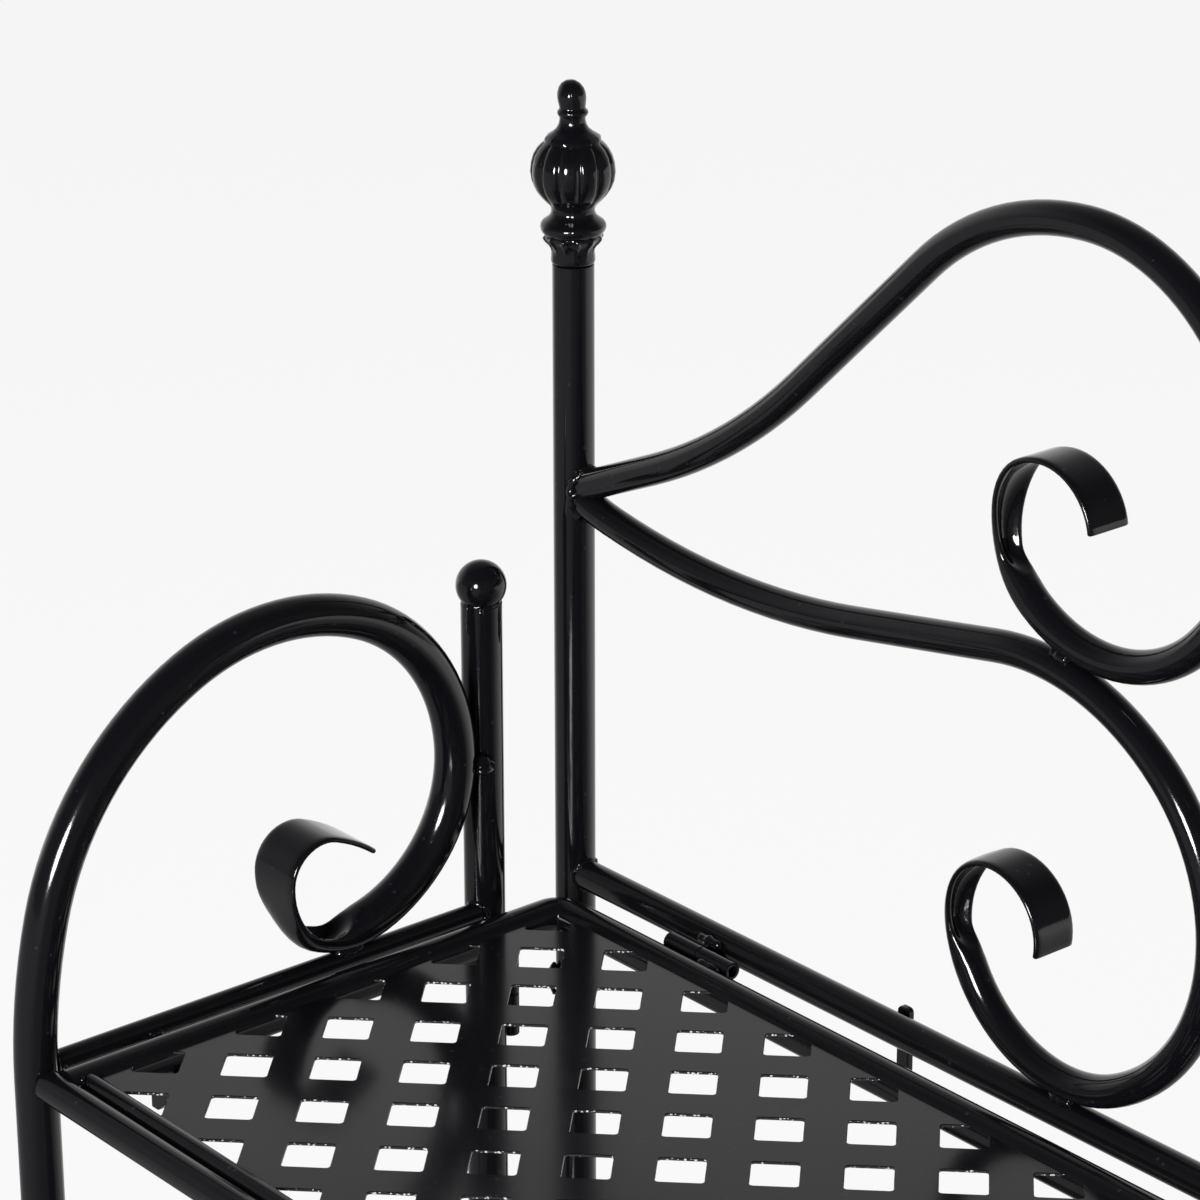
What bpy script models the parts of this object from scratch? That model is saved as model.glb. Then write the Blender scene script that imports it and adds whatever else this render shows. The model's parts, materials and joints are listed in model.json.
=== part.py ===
"""Folding three-tier plant stand of bent steel tube. Metres, +Z up, the front faces -Y."""

import math

import bmesh
import bpy
from mathutils import Vector

# Tubes, strips and clearances
POST_RADIUS = 0.008
TUBE_RADIUS = 0.006
SIDE_RAIL_RADIUS = 0.004
STRIP_THICKNESS = 0.0024
SCROLL_STRIP_WIDTH = 0.0175
ARM_STRIP_WIDTH = 0.0225
WELD_GAP = 0.0003
RUNNING_GAP = 0.0004

# Layout: setbacks are measured forwards from the plane of the back posts
POST_SPAN = 0.695
BOTTOM_TIER_HEIGHT = 0.130
TIER_SPACING = 0.275
BALL_POST_SETBACK = 0.046
LEG_SETBACK = 0.2554
LEG_INSET = 0.003
POST_RISE = 0.250
BALL_RISE = 0.1315

# Shelf: rises and drops are measured from the axis of the shelf frame
SHELF_HINGE_SETBACK = 0.014
FRAME_SETBACK = 0.0269
FRAME_INSET = 0.0246
FRONT_RAIL_DROP = 0.0057
SIDE_RAIL_DROP = 0.0019
SHEET_DROP = 0.0015
SHEET_THICKNESS = 0.0012
SHEET_FRONT_GAP = 0.0042
HOLE_SIZE = 0.017
HOLE_PITCH = 0.03227
HOLE_ROW_SETBACK = 0.0783

# Hinges
BARREL_RADIUS = 0.004
BARREL_LENGTH = 0.018
PIN_RADIUS = 0.002
PIN_REACH = 0.012
TAB_THICKNESS = 0.004
SHELF_HINGE_INSET = 0.0914
PANEL_HINGE_DROP = 0.0435

# Rest plates and rail hooks
REST_SETBACK = 0.206
REST_THICKNESS = 0.004
REST_DEPTH = 0.033
REST_LIP = 0.004
HOOK_INSET = 0.1805
HOOK_WIDTH = 0.006
HOOK_THICKNESS = 0.0025
HOOK_DROP = 0.016
HOOK_RISE = 0.0092

# Feet, ball and finial
FOOT_RADIUS = 0.010
FOOT_HEIGHT = 0.020
FOOT_FLOOR = 0.003
BALL_RADIUS = 0.0103
BALL_SEAT = 0.0063
FINIAL_RADIUS = 0.016
FINIAL_LOBES = 8

# Scrolls: arcs as (radius, turn in degrees), a turn to the left is positive
ARCH_HEADING = 23.5
ARCH_LEAD = ((0.041, 0), (0.280, 20.1))
ARCH_SCROLL = (
    (0.111, -42.4),
    (0.0771, -134.6),
    (0.0577, -81.1),
    (0.0311, -91.0),
    (0.0216, -132.6),
)
LOWER_HEADING = -17.7
LOWER_LEAD = ((0.130, 6.7), (0.366, 21.2))
LOWER_SCROLL = (
    (0.0947, -52.2),
    (0.0757, -110.5),
    (0.0537, -100.6),
    (0.0262, -74.8),
    (0.0210, -129.5),
)
LOWER_SCROLL_GAP = 0.017
SCROLL_FLAT_LENGTH = 0.088
ARM_LEAD = ((0.243, -14.6),)
ARM_SHOULDER_TURN = -49.7
ARM_SCROLL = (
    (0.0925, -49.6),
    (0.0738, -60.9),
    (0.0589, -80.4),
    (0.0337, -93.2),
    (0.0154, -122.5),
    (0.0669, -17.1),
)
ARM_FLAT_LENGTH = 0.100
CRIMP_LENGTH = 0.022
CRIMP_FADE = 0.040
COPE_LENGTH = 0.005
MITRE_LENGTH = 0.022

# Fineness of the facets
TUBE_SIDES = 12
SCROLL_SIDES = 8
BARREL_SIDES = 8
CHORD_ERROR = 0.0004

# Sizes that follow from the ones above
HALF_SPAN = POST_SPAN / 2
BACK_Y = (LEG_SETBACK + FOOT_RADIUS - FINIAL_RADIUS) / 2
LEG_X = HALF_SPAN - LEG_INSET
FRAME_X = HALF_SPAN - FRAME_INSET
TIERS = {
    "bottom": BOTTOM_TIER_HEIGHT,
    "middle": BOTTOM_TIER_HEIGHT + TIER_SPACING,
    "top": BOTTOM_TIER_HEIGHT + 2 * TIER_SPACING,
}
TOP = TIERS["top"]
SIDES = {"left": -1, "right": 1}
PANEL_HINGE_SETBACK = BALL_POST_SETBACK - POST_RADIUS - BARREL_RADIUS - WELD_GAP
TUBE_FOOT = FOOT_FLOOR + WELD_GAP
FRONT_RAIL_END = LEG_X - POST_RADIUS - RUNNING_GAP


def behind(setback):
    """The Y of a point this far in front of the back posts."""
    return BACK_Y - setback


def material(name, colour, roughness, metallic):
    made = bpy.data.materials.new(name)
    made.use_nodes = True
    shader = made.node_tree.nodes["Principled BSDF"]
    shader.inputs["Base Color"].default_value = (*colour, 1)
    shader.inputs["Roughness"].default_value = roughness
    shader.inputs["Metallic"].default_value = metallic
    return made


def add_object(name, bm, finish, pivot=(0, 0, 0)):
    """Turns the faces outwards and makes the object, with its origin at the pivot."""
    bmesh.ops.recalc_face_normals(bm, faces=bm.faces)
    bmesh.ops.translate(bm, verts=bm.verts, vec=-Vector(pivot))
    mesh = bpy.data.meshes.new(name)
    bm.to_mesh(mesh)
    bm.free()
    mesh.materials.append(finish)
    made = bpy.data.objects.new(name, mesh)
    made.location = pivot
    bpy.context.scene.collection.objects.link(made)
    return made


def add_helper(name, bm):
    helper = add_object(name, bm, FINISHES["helper"])
    helper.hide_render = True
    helper.display_type = "WIRE"
    return helper


def combine(target, helper, operation):
    modifier = target.modifiers.new(helper.name, "BOOLEAN")
    modifier.operation = operation
    modifier.solver = "EXACT"
    modifier.object = helper


def loft(rings):
    """A closed body through rings of equally many points."""
    bm = bmesh.new()
    rows = [[bm.verts.new(point) for point in ring] for ring in rings]
    for lower, upper in zip(rows, rows[1:]):
        for index in range(len(lower)):
            after = (index + 1) % len(lower)
            bm.faces.new((lower[index], lower[after], upper[after], upper[index]))
    bm.faces.new(rows[0])
    bm.faces.new(rows[-1])
    return bm


def lathe(profile, centre, sides):
    """A turned body: the profile runs along the axis as (radius, height, flute share)."""
    bm = bmesh.new()
    rows = []
    for radius, height, flute in profile:
        row = []
        for index in range(sides if radius > 0 else 1):
            angle = 2 * math.pi * index / sides
            reach = radius
            if flute and index % 2:
                reach = radius * (1 - flute)
            offset = (reach * math.cos(angle), reach * math.sin(angle), height)
            row.append(bm.verts.new(Vector(centre) + Vector(offset)))
        rows.append(row)
    for lower, upper in zip(rows, rows[1:]):
        for index in range(sides):
            after = (index + 1) % sides
            corners = [lower[index % len(lower)], lower[after % len(lower)]]
            corners += [upper[after % len(upper)], upper[index % len(upper)]]
            bm.faces.new(dict.fromkeys(corners))
    return bm


def rod(start, end, radius, sides=TUBE_SIDES):
    """A straight round bar with flat ends."""
    start, end = Vector(start), Vector(end)
    along = (end - start).normalized()
    first = Vector((0, 1, 0)) if abs(along.x) > 0.5 else Vector((1, 0, 0))
    second = along.cross(first)
    rings = []
    for centre in (start, end):
        ring = []
        for index in range(sides):
            angle = 2 * math.pi * index / sides
            ring.append(centre + radius * (math.cos(angle) * first + math.sin(angle) * second))
        rings.append(ring)
    return loft(rings)


def plate(outline, place, near, far):
    """A flat plate: its outline is placed in space at two depths."""
    return loft([[place(u, v, depth) for u, v in outline] for depth in (near, far)])


# Scrolled members


def follow(runs, heading):
    """Steps (u, w, heading, length) along arcs (radius, turn) and straight runs (length, 0)."""
    u = w = length = 0.0
    steps = [(u, w, heading, length)]
    for size, turn in runs:
        angle = math.radians(turn)
        count = 1
        if turn:
            count = math.ceil(abs(angle) / (2 * math.acos(1 - CHORD_ERROR / size)))
        part = angle / count
        chord = 2 * size * math.sin(abs(part) / 2) if turn else size
        for _ in range(count):
            u += chord * math.cos(heading + part / 2)
            w += chord * math.sin(heading + part / 2)
            heading += part
            length += size * abs(part) if turn else size
            steps.append((u, w, heading, length))
    return steps


def turned(runs, heading):
    """The heading after these runs."""
    return heading + math.radians(sum(turn for _, turn in runs))


def with_run(lead, scroll, heading, reach):
    """The runs of a member whose straight middle run carries the scroll out to this reach."""
    farthest = max(step[0] for step in follow(scroll, turned(lead, heading)))
    start = follow(lead, heading)[-1][0]
    run = (reach - start - farthest) / math.cos(turned(lead, heading))
    return (*lead, (run, 0), *scroll)


def with_shoulder(lead, turn, scroll, heading, reach):
    """The runs of a member whose shoulder arc carries the scroll out to this reach."""
    before = turned(lead, heading)
    after = before + math.radians(turn)
    farthest = max(step[0] for step in follow(scroll, after))
    start = follow(lead, heading)[-1][0]
    radius = (reach - start - farthest) / abs(math.sin(after) - math.sin(before))
    return (*lead, (radius, turn), *scroll)


def lowest(runs, skip, heading):
    """The lowest point of the member beyond its first runs."""
    first = len(follow(runs[:skip], heading))
    return min(step[1] for step in follow(runs, heading)[first:])


def smooth(share):
    share = min(max(share, 0), 1)
    return share * share * (3 - 2 * share)


def powered(value, power):
    return math.copysign(abs(value) ** power, value) if abs(value) > 1e-9 else 0.0


def sweep(steps, radius, width, flat_length, place):
    """A tube along the steps that is crimped flat on its outer wall and ends as a strip."""
    end = steps[-1][3]
    rings = []
    for u, w, heading, length in steps:
        beyond = length - (end - flat_length)
        flat = smooth(1 + beyond / CRIMP_LENGTH)
        thick = radius + (STRIP_THICKNESS / 2 - radius) * flat
        wide = radius + (width / 2 - radius) * flat
        shift = (radius - thick) * (1 - smooth(beyond / CRIMP_FADE))
        ring = []
        for index in range(SCROLL_SIDES):
            angle = 2 * math.pi * index / SCROLL_SIDES
            out = shift + thick * powered(math.cos(angle), 1 - 0.65 * flat)
            across = wide * powered(math.sin(angle), 1 - 0.5 * flat)
            ring.append(place(u - out * math.sin(heading), w + out * math.cos(heading), across))
        rings.append(ring)
    return loft(rings)


def raised(steps, rise):
    return [(u, w + rise, heading, length) for u, w, heading, length in steps]


def distance(point, start, end):
    """The distance of a point from the chord between two steps."""
    chord_u, chord_w = end[0] - start[0], end[1] - start[1]
    off_u, off_w = point[0] - start[0], point[1] - start[1]
    share = (off_u * chord_u + off_w * chord_w) / (chord_u**2 + chord_w**2)
    share = min(max(share, 0), 1)
    return math.hypot(off_u - share * chord_u, off_w - share * chord_w)


def closest(first, second):
    """The least distance between two rows of steps."""
    pairs = [(point, chord) for point in first for chord in zip(second, second[1:])]
    pairs += [(point, chord) for point in second for chord in zip(first, first[1:])]
    return min(distance(point, *chord) for point, chord in pairs)


def back_members():
    """The steps of the arch and of the lower member, with their rise over the top tier."""
    lower_heading = math.radians(LOWER_HEADING)
    reach = HALF_SPAN - TUBE_RADIUS - LOWER_SCROLL_GAP / 2 - POST_RADIUS
    runs = with_run(LOWER_LEAD, LOWER_SCROLL, lower_heading, reach)
    rise = 2 * TUBE_RADIUS + WELD_GAP - lowest(runs, len(LOWER_LEAD) + 1, lower_heading)
    lower = raised(follow(runs, lower_heading), rise)
    arch_heading = math.radians(ARCH_HEADING)
    reach = HALF_SPAN - TUBE_RADIUS - WELD_GAP / 2 - POST_RADIUS
    arch = follow(with_run(ARCH_LEAD, ARCH_SCROLL, arch_heading, reach), arch_heading)
    scroll = arch[len(follow(ARCH_LEAD, arch_heading)) :]
    near, far = rise, rise + 4 * FOOT_HEIGHT
    for _ in range(30):
        middle = (near + far) / 2
        if closest(raised(scroll, middle), lower) < 2 * TUBE_RADIUS + WELD_GAP:
            near = middle
        else:
            far = middle
    return raised(arch, far), lower


def coped(steps):
    """The steps with a short straight lead into the post."""
    u, w, heading, _ = steps[0]
    lead = (u - COPE_LENGTH * math.cos(heading), w - COPE_LENGTH * math.sin(heading), heading, 0)
    return [lead, *steps]


def add_back_members():
    arch, lower = back_members()
    mitre_rise = (arch[0][1] + lower[0][1]) / 2
    slope = math.tan(math.radians(ARCH_HEADING + LOWER_HEADING) / 2)
    for side, sign in SIDES.items():

        def place(u, w, across, sign=sign):
            return Vector((sign * (HALF_SPAN - POST_RADIUS - u), BACK_Y + across, TOP + w))

        for name, steps, above in (("arch_scroll", arch, 1), ("lower_scroll", lower, -1)):
            bm = sweep(coped(steps), TUBE_RADIUS, SCROLL_STRIP_WIDTH, SCROLL_FLAT_LENGTH, place)
            member = add_object(f"{name}_{side}", bm, FINISHES["tube"])
            outline = []
            for u, depth in ((-0.5, 0), (1, 0), (1, 1), (-0.5, 1)):
                u *= MITRE_LENGTH
                rise = mitre_rise + slope * u + above * (WELD_GAP / 2 - 2 * TUBE_RADIUS * depth)
                outline.append((u, rise))
            wide = 2 * TUBE_RADIUS
            mitre = add_helper(f"mitre_{name}_{side}", plate(outline, place, -wide, wide))
            combine(member, mitre, "DIFFERENCE")
            combine(member, POST_CUTTERS[side], "DIFFERENCE")


# Back frame


def add_posts():
    for side, sign in SIDES.items():
        x = sign * HALF_SPAN
        bm = rod((x, BACK_Y, TUBE_FOOT), (x, BACK_Y, TOP + POST_RISE), POST_RADIUS)
        add_object(f"back_post_{side}", bm, FINISHES["tube"])
        cope = rod((x, BACK_Y, 0), (x, BACK_Y, TOP + POST_RISE), POST_RADIUS + WELD_GAP)
        POST_CUTTERS[side] = add_helper(f"cope_{side}", cope)
        add_foot(f"back_foot_{side}", (x, BACK_Y, 0))
        add_finial(f"urn_finial_{side}", (x, BACK_Y, TOP + POST_RISE + WELD_GAP))


def add_foot(name, centre, pivot=(0, 0, 0)):
    profile = (
        (0, 0, 0),
        (0.9 * FOOT_RADIUS, 0, 0),
        (FOOT_RADIUS, 0.1 * FOOT_RADIUS, 0),
        (FOOT_RADIUS, FOOT_HEIGHT, 0),
        (POST_RADIUS + WELD_GAP, FOOT_HEIGHT, 0),
        (POST_RADIUS + WELD_GAP, FOOT_FLOOR, 0),
        (0, FOOT_FLOOR, 0),
    )
    add_object(name, lathe(profile, centre, TUBE_SIDES), FINISHES["foot"], pivot)


def add_finial(name, centre):
    """Leaf collar, ring, fluted bulb, flared cap, neck, ring and acorn."""
    shape = (
        (0, 0, 0),
        (0.56, 0, 0),
        (0.70, 0.010, 0),
        (0.76, 0.013, 0),
        (0.70, 0.0165, 0),
        (0.52, 0.021, 0),
        (0.56, 0.024, 0),
        (0.86, 0.029, 0.10),
        (1.00, 0.0353, 0.12),
        (0.88, 0.042, 0.10),
        (0.48, 0.0462, 0),
        (0.50, 0.0485, 0),
        (0.29, 0.0535, 0),
        (0.41, 0.059, 0),
        (0.35, 0.064, 0),
        (0, 0.070, 0),
    )
    profile = [(share * FINIAL_RADIUS, height, flute) for share, height, flute in shape]
    add_object(name, lathe(profile, centre, 2 * FINIAL_LOBES), FINISHES["cast"])


def add_back_rails():
    for tier, height in TIERS.items():
        bm = rod((-HALF_SPAN, BACK_Y, height), (HALF_SPAN, BACK_Y, height), TUBE_RADIUS)
        rail = add_object(f"back_rail_{tier}", bm, FINISHES["tube"])
        for cutter in POST_CUTTERS.values():
            combine(rail, cutter, "DIFFERENCE")


def add_hooks():
    near = TUBE_RADIUS + WELD_GAP
    far = near + HOOK_THICKNESS
    under = HOOK_RISE - HOOK_THICKNESS
    outline = (
        (near, -HOOK_DROP),
        (far, -HOOK_DROP),
        (far, HOOK_RISE),
        (TUBE_RADIUS / 2, HOOK_RISE),
        (TUBE_RADIUS / 2, under),
        (near, under),
    )
    for side, sign in SIDES.items():

        def place(u, v, depth, sign=sign):
            return Vector((sign * (HALF_SPAN - HOOK_INSET) + depth, BACK_Y + u, TOP + v))

        bm = plate(outline, place, -HOOK_WIDTH / 2, HOOK_WIDTH / 2)
        add_object(f"rail_hook_{side}", bm, FINISHES["tube"])


# Hinges


def keyhole(tab):
    """Outline of a hinge barrel with a weld tab that ends this far from its axis."""
    half = TAB_THICKNESS / 2
    root = math.asin(half / BARREL_RADIUS)
    outline = [(tab, -half), (tab, half)]
    for index in range(BARREL_SIDES):
        angle = root + (2 * math.pi - 2 * root) * index / (BARREL_SIDES - 1)
        outline.append((BARREL_RADIUS * math.cos(angle), BARREL_RADIUS * math.sin(angle)))
    return outline


def circle(radius):
    angles = [2 * math.pi * index / BARREL_SIDES for index in range(BARREL_SIDES)]
    return [(radius * math.cos(angle), radius * math.sin(angle)) for angle in angles]


def add_fixed_half(name, outline, place):
    """The barrel half below the seam, with the pin that reaches into the other half."""
    half = add_object(name, plate(outline, place, -BARREL_LENGTH, -RUNNING_GAP / 2), FINISHES["tube"])
    pin = plate(circle(PIN_RADIUS), place, -BARREL_LENGTH / 2, PIN_REACH)
    combine(half, add_helper(f"pin_{name}", pin), "UNION")


def add_moving_half(name, outline, place, pivot):
    """The hollow barrel half above the seam."""
    bm = plate(outline, place, RUNNING_GAP / 2, BARREL_LENGTH)
    half = add_object(name, bm, FINISHES["tube"], pivot)
    bore = circle(PIN_RADIUS + RUNNING_GAP)
    helper = plate(bore, place, -BARREL_LENGTH, 2 * BARREL_LENGTH)
    combine(half, add_helper(f"bore_{name}", helper), "DIFFERENCE")


def add_shelf_hinges():
    rail_tab = SHELF_HINGE_SETBACK - TUBE_RADIUS - WELD_GAP
    frame_tab = FRAME_SETBACK - SHELF_HINGE_SETBACK - TUBE_RADIUS - WELD_GAP
    for tier, height in TIERS.items():
        for side, sign in SIDES.items():

            def place_rear(u, v, depth, sign=sign, height=height):
                x = sign * (HALF_SPAN - SHELF_HINGE_INSET - depth)
                return Vector((x, behind(SHELF_HINGE_SETBACK) + u, height + v))

            def place_front(u, v, depth, sign=sign, height=height):
                x = sign * (HALF_SPAN - SHELF_HINGE_INSET - depth)
                return Vector((x, behind(SHELF_HINGE_SETBACK) - u, height + v))

            pivot = (0, behind(SHELF_HINGE_SETBACK), height)
            add_fixed_half(f"shelf_hinge_fixed_{tier}_{side}", keyhole(rail_tab), place_rear)
            moving = f"shelf_hinge_moving_{tier}_{side}"
            add_moving_half(moving, keyhole(frame_tab), place_front, pivot)


def add_panel_hinges():
    post_tab = PANEL_HINGE_SETBACK - POST_RADIUS - WELD_GAP
    for level in ("bottom", "top"):
        for side, sign in SIDES.items():

            def place(u, v, depth, sign=sign, level=level):
                y = behind(PANEL_HINGE_SETBACK) + u
                return Vector((sign * HALF_SPAN + v, y, TIERS[level] - PANEL_HINGE_DROP + depth))

            add_fixed_half(f"panel_hinge_fixed_{level}_{side}", keyhole(post_tab), place)
            moving = f"panel_hinge_moving_{level}_{side}"
            add_moving_half(moving, circle(BARREL_RADIUS), place, panel_pivot(sign))


# Shelves


def hole_centres(half_width, rear, front):
    """Centres of the punched squares that reach into the sheet, as (x, setback)."""
    step = HOLE_PITCH / math.sqrt(2)
    corner = HOLE_SIZE / math.sqrt(2)
    first_row = FRAME_SETBACK + HOLE_ROW_SETBACK
    rows = range(-math.ceil(first_row / step), math.ceil(front / step) + 1)
    columns = math.ceil(HALF_SPAN / step)
    centres = []
    for row in rows:
        setback = first_row + row * step
        for column in range(-columns, columns + 1):
            x = column * step
            inside = abs(x) - corner < half_width - 2 * SHEET_THICKNESS
            inside = inside and setback + corner > rear + 2 * SHEET_THICKNESS
            inside = inside and setback - corner < front - 2 * SHEET_THICKNESS
            if inside and (row + column) % 2:
                centres.append((x, setback))
    return centres


def add_shelf(tier, height):
    pivot = (0, behind(SHELF_HINGE_SETBACK), height)
    front_edge = LEG_SETBACK - TUBE_RADIUS - SHEET_FRONT_GAP
    rear_edge = FRAME_SETBACK + TUBE_RADIUS + WELD_GAP
    half_width = FRAME_X - TUBE_RADIUS - WELD_GAP

    def place(x, setback, drop):
        return Vector((x, behind(setback), height - drop))

    corners = ((1, rear_edge), (1, front_edge), (-1, front_edge), (-1, rear_edge))
    outline = [(sign * half_width, setback) for sign, setback in corners]
    bm = plate(outline, place, SHEET_DROP, SHEET_DROP + SHEET_THICKNESS)
    sheet = add_object(f"shelf_sheet_{tier}", bm, FINISHES["sheet"], pivot)
    punch = bmesh.new()
    corner = HOLE_SIZE / math.sqrt(2)
    for x, setback in hole_centres(half_width, rear_edge, front_edge):
        square = ((x + corner, setback), (x, setback + corner))
        square += ((x - corner, setback), (x, setback - corner))
        rings = []
        for drop in (SHEET_DROP - SHEET_THICKNESS, SHEET_DROP + 2 * SHEET_THICKNESS):
            rings.append([punch.verts.new(place(u, v, drop)) for u, v in square])
        top, bottom = rings
        punch.faces.new(top)
        punch.faces.new(bottom)
        for index in range(4):
            after = (index + 1) % 4
            punch.faces.new((top[index], top[after], bottom[after], bottom[index]))
    combine(sheet, add_helper(f"punch_{tier}", punch), "DIFFERENCE")

    # The frame rod has mitred corners, so its corner rings are stretched along the mitre
    bends = (
        (FRAME_X, LEG_SETBACK, (1, 0)),
        (FRAME_X, FRAME_SETBACK, (1, 1)),
        (-FRAME_X, FRAME_SETBACK, (-1, 1)),
        (-FRAME_X, LEG_SETBACK, (-1, 0)),
    )
    rings = []
    for x, setback, (out_x, out_y) in bends:
        ring = []
        for index in range(TUBE_SIDES):
            angle = 2 * math.pi * index / TUBE_SIDES
            reach = TUBE_RADIUS * math.cos(angle)
            rise = TUBE_RADIUS * math.sin(angle)
            ring.append(place(x + out_x * reach, setback - out_y * reach, -rise))
        rings.append(ring)
    frame = add_object(f"shelf_frame_{tier}", loft(rings), FINISHES["tube"], pivot)
    rail_height = height - FRONT_RAIL_DROP
    ends = [(sign * FRONT_RAIL_END, behind(LEG_SETBACK), rail_height) for sign in (-1, 1)]
    add_object(f"front_rail_{tier}", rod(*ends, TUBE_RADIUS), FINISHES["tube"], pivot)
    cope = add_helper(f"cope_frame_{tier}", rod(*ends, TUBE_RADIUS + WELD_GAP))
    combine(frame, cope, "DIFFERENCE")


# Side panels


def panel_pivot(sign):
    return (sign * HALF_SPAN, behind(PANEL_HINGE_SETBACK), 0)


def arm_steps():
    """The leg from the floor, bent into the arm that touches the ball post and the side rail."""
    upright = math.radians(90)
    contact = math.sqrt((2 * POST_RADIUS + WELD_GAP) ** 2 - LEG_INSET**2)
    reach = LEG_SETBACK - BALL_POST_SETBACK - contact
    runs = with_shoulder(ARM_LEAD, ARM_SHOULDER_TURN, ARM_SCROLL, upright, reach)
    rest = TOP - SIDE_RAIL_DROP + SIDE_RAIL_RADIUS + WELD_GAP + POST_RADIUS
    bend_height = rest - lowest(runs, len(ARM_LEAD) + 2, upright)
    return raised(follow(((bend_height - TUBE_FOOT, 0), *runs), upright), TUBE_FOOT)


def leg_lean(height):
    """How far the leg has bent backwards at this height."""
    steps = arm_steps()
    for (u, w, _, _), (next_u, next_w, _, _) in zip(steps, steps[1:]):
        if next_w >= height:
            return u + (next_u - u) * (height - w) / (next_w - w)
    raise ValueError("the leg ends below this height")


def add_side_panel(side, sign):
    pivot = panel_pivot(sign)

    def place_arm(u, w, across):
        return Vector((sign * LEG_X + across, behind(LEG_SETBACK) + u, w))

    bm = sweep(arm_steps(), POST_RADIUS, ARM_STRIP_WIDTH, ARM_FLAT_LENGTH, place_arm)
    add_object(f"scroll_leg_{side}", bm, FINISHES["tube"], pivot)
    add_foot(f"leg_foot_{side}", (sign * LEG_X, behind(LEG_SETBACK), 0), pivot)

    x, y = sign * HALF_SPAN, behind(BALL_POST_SETBACK)
    mouth = TOP + BALL_RISE - BALL_SEAT - WELD_GAP
    bm = rod((x, y, TUBE_FOOT), (x, y, mouth), POST_RADIUS)
    add_object(f"ball_post_{side}", bm, FINISHES["tube"], pivot)
    add_foot(f"ball_post_foot_{side}", (x, y, 0), pivot)
    seat_angle = math.asin(BALL_SEAT / BALL_RADIUS)
    profile = [(0, -BALL_SEAT, 0)]
    for index in range(6):
        angle = -seat_angle + (math.pi / 2 + seat_angle) * index / 6
        profile.append((BALL_RADIUS * math.cos(angle), BALL_RADIUS * math.sin(angle), 0))
    profile.append((0, BALL_RADIUS, 0))
    bm = lathe(profile, (x, y, TOP + BALL_RISE), TUBE_SIDES)
    add_object(f"ball_{side}", bm, FINISHES["tube"], pivot)

    rear = BALL_POST_SETBACK + POST_RADIUS + WELD_GAP
    for tier, height in TIERS.items():
        level = height - SIDE_RAIL_DROP
        front = LEG_SETBACK - POST_RADIUS - WELD_GAP - leg_lean(level + SIDE_RAIL_RADIUS)
        ends = [(sign * LEG_X, behind(setback), level) for setback in (rear, front)]
        rail = rod(*ends, SIDE_RAIL_RADIUS)
        rail = add_object(f"side_rail_{tier}_{side}", rail, FINISHES["tube"], pivot)

        def place_rest(u, v, depth, height=height):
            return Vector((sign * (LEG_X - u), behind(REST_SETBACK) + depth, height + v))

        inner = SIDE_RAIL_RADIUS / 2
        outer = FRAME_INSET - LEG_INSET + REST_LIP
        top = -TUBE_RADIUS - WELD_GAP
        outline = (
            (inner, -SIDE_RAIL_DROP),
            (inner + SIDE_RAIL_RADIUS, -SIDE_RAIL_DROP),
            (inner + SIDE_RAIL_RADIUS, top),
            (outer, top),
            (outer, top - REST_LIP),
            (inner + SIDE_RAIL_RADIUS, -REST_DEPTH),
            (inner, -REST_DEPTH),
        )
        bm = plate(outline, place_rest, -REST_THICKNESS / 2, REST_THICKNESS / 2)
        combine(rail, add_helper(f"rest_{tier}_{side}", bm), "UNION")


for leftover in list(bpy.data.objects):
    bpy.data.objects.remove(leftover)
FINISHES = {
    "tube": material("black_powder_coat", (0.012, 0.012, 0.013), 0.32, 0.0),
    "cast": material("black_coated_casting", (0.012, 0.012, 0.013), 0.34, 0.0),
    "sheet": material("black_coated_sheet", (0.014, 0.014, 0.015), 0.30, 0.0),
    "foot": material("black_plastic", (0.02, 0.02, 0.02), 0.55, 0.0),
    "helper": material("helper", (0.8, 0.2, 0.2), 0.5, 0.0),
}
POST_CUTTERS = {}
add_posts()
add_back_rails()
add_back_members()
add_hooks()
add_shelf_hinges()
add_panel_hinges()
for tier_name, tier_height in TIERS.items():
    add_shelf(tier_name, tier_height)
for side_name, side_sign in SIDES.items():
    add_side_panel(side_name, side_sign)
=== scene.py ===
"""Looks of a folding three-tier plant stand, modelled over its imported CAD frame.

Metres, +Z up, the front of the stand faces -Y.
"""

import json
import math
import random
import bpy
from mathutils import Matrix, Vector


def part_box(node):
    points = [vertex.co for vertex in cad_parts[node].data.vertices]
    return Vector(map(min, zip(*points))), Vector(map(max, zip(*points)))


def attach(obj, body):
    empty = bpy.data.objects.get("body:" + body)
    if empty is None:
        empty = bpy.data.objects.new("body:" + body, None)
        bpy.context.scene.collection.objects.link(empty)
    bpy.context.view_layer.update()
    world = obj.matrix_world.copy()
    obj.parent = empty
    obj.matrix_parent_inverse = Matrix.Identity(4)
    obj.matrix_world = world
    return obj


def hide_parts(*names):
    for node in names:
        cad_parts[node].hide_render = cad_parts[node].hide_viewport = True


bl_info = {
    "name": "Folding Plant Stand",
    "version": (1, 0, 0),
    "blender": (4, 5, 0),
    "location": "View3D > Sidebar > Plant Stand",
    "description": "Models a folding plant stand of black coated steel tube",
    "category": "Object",
}

import bmesh
import bpy
from mathutils import Matrix, Vector, noise

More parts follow.
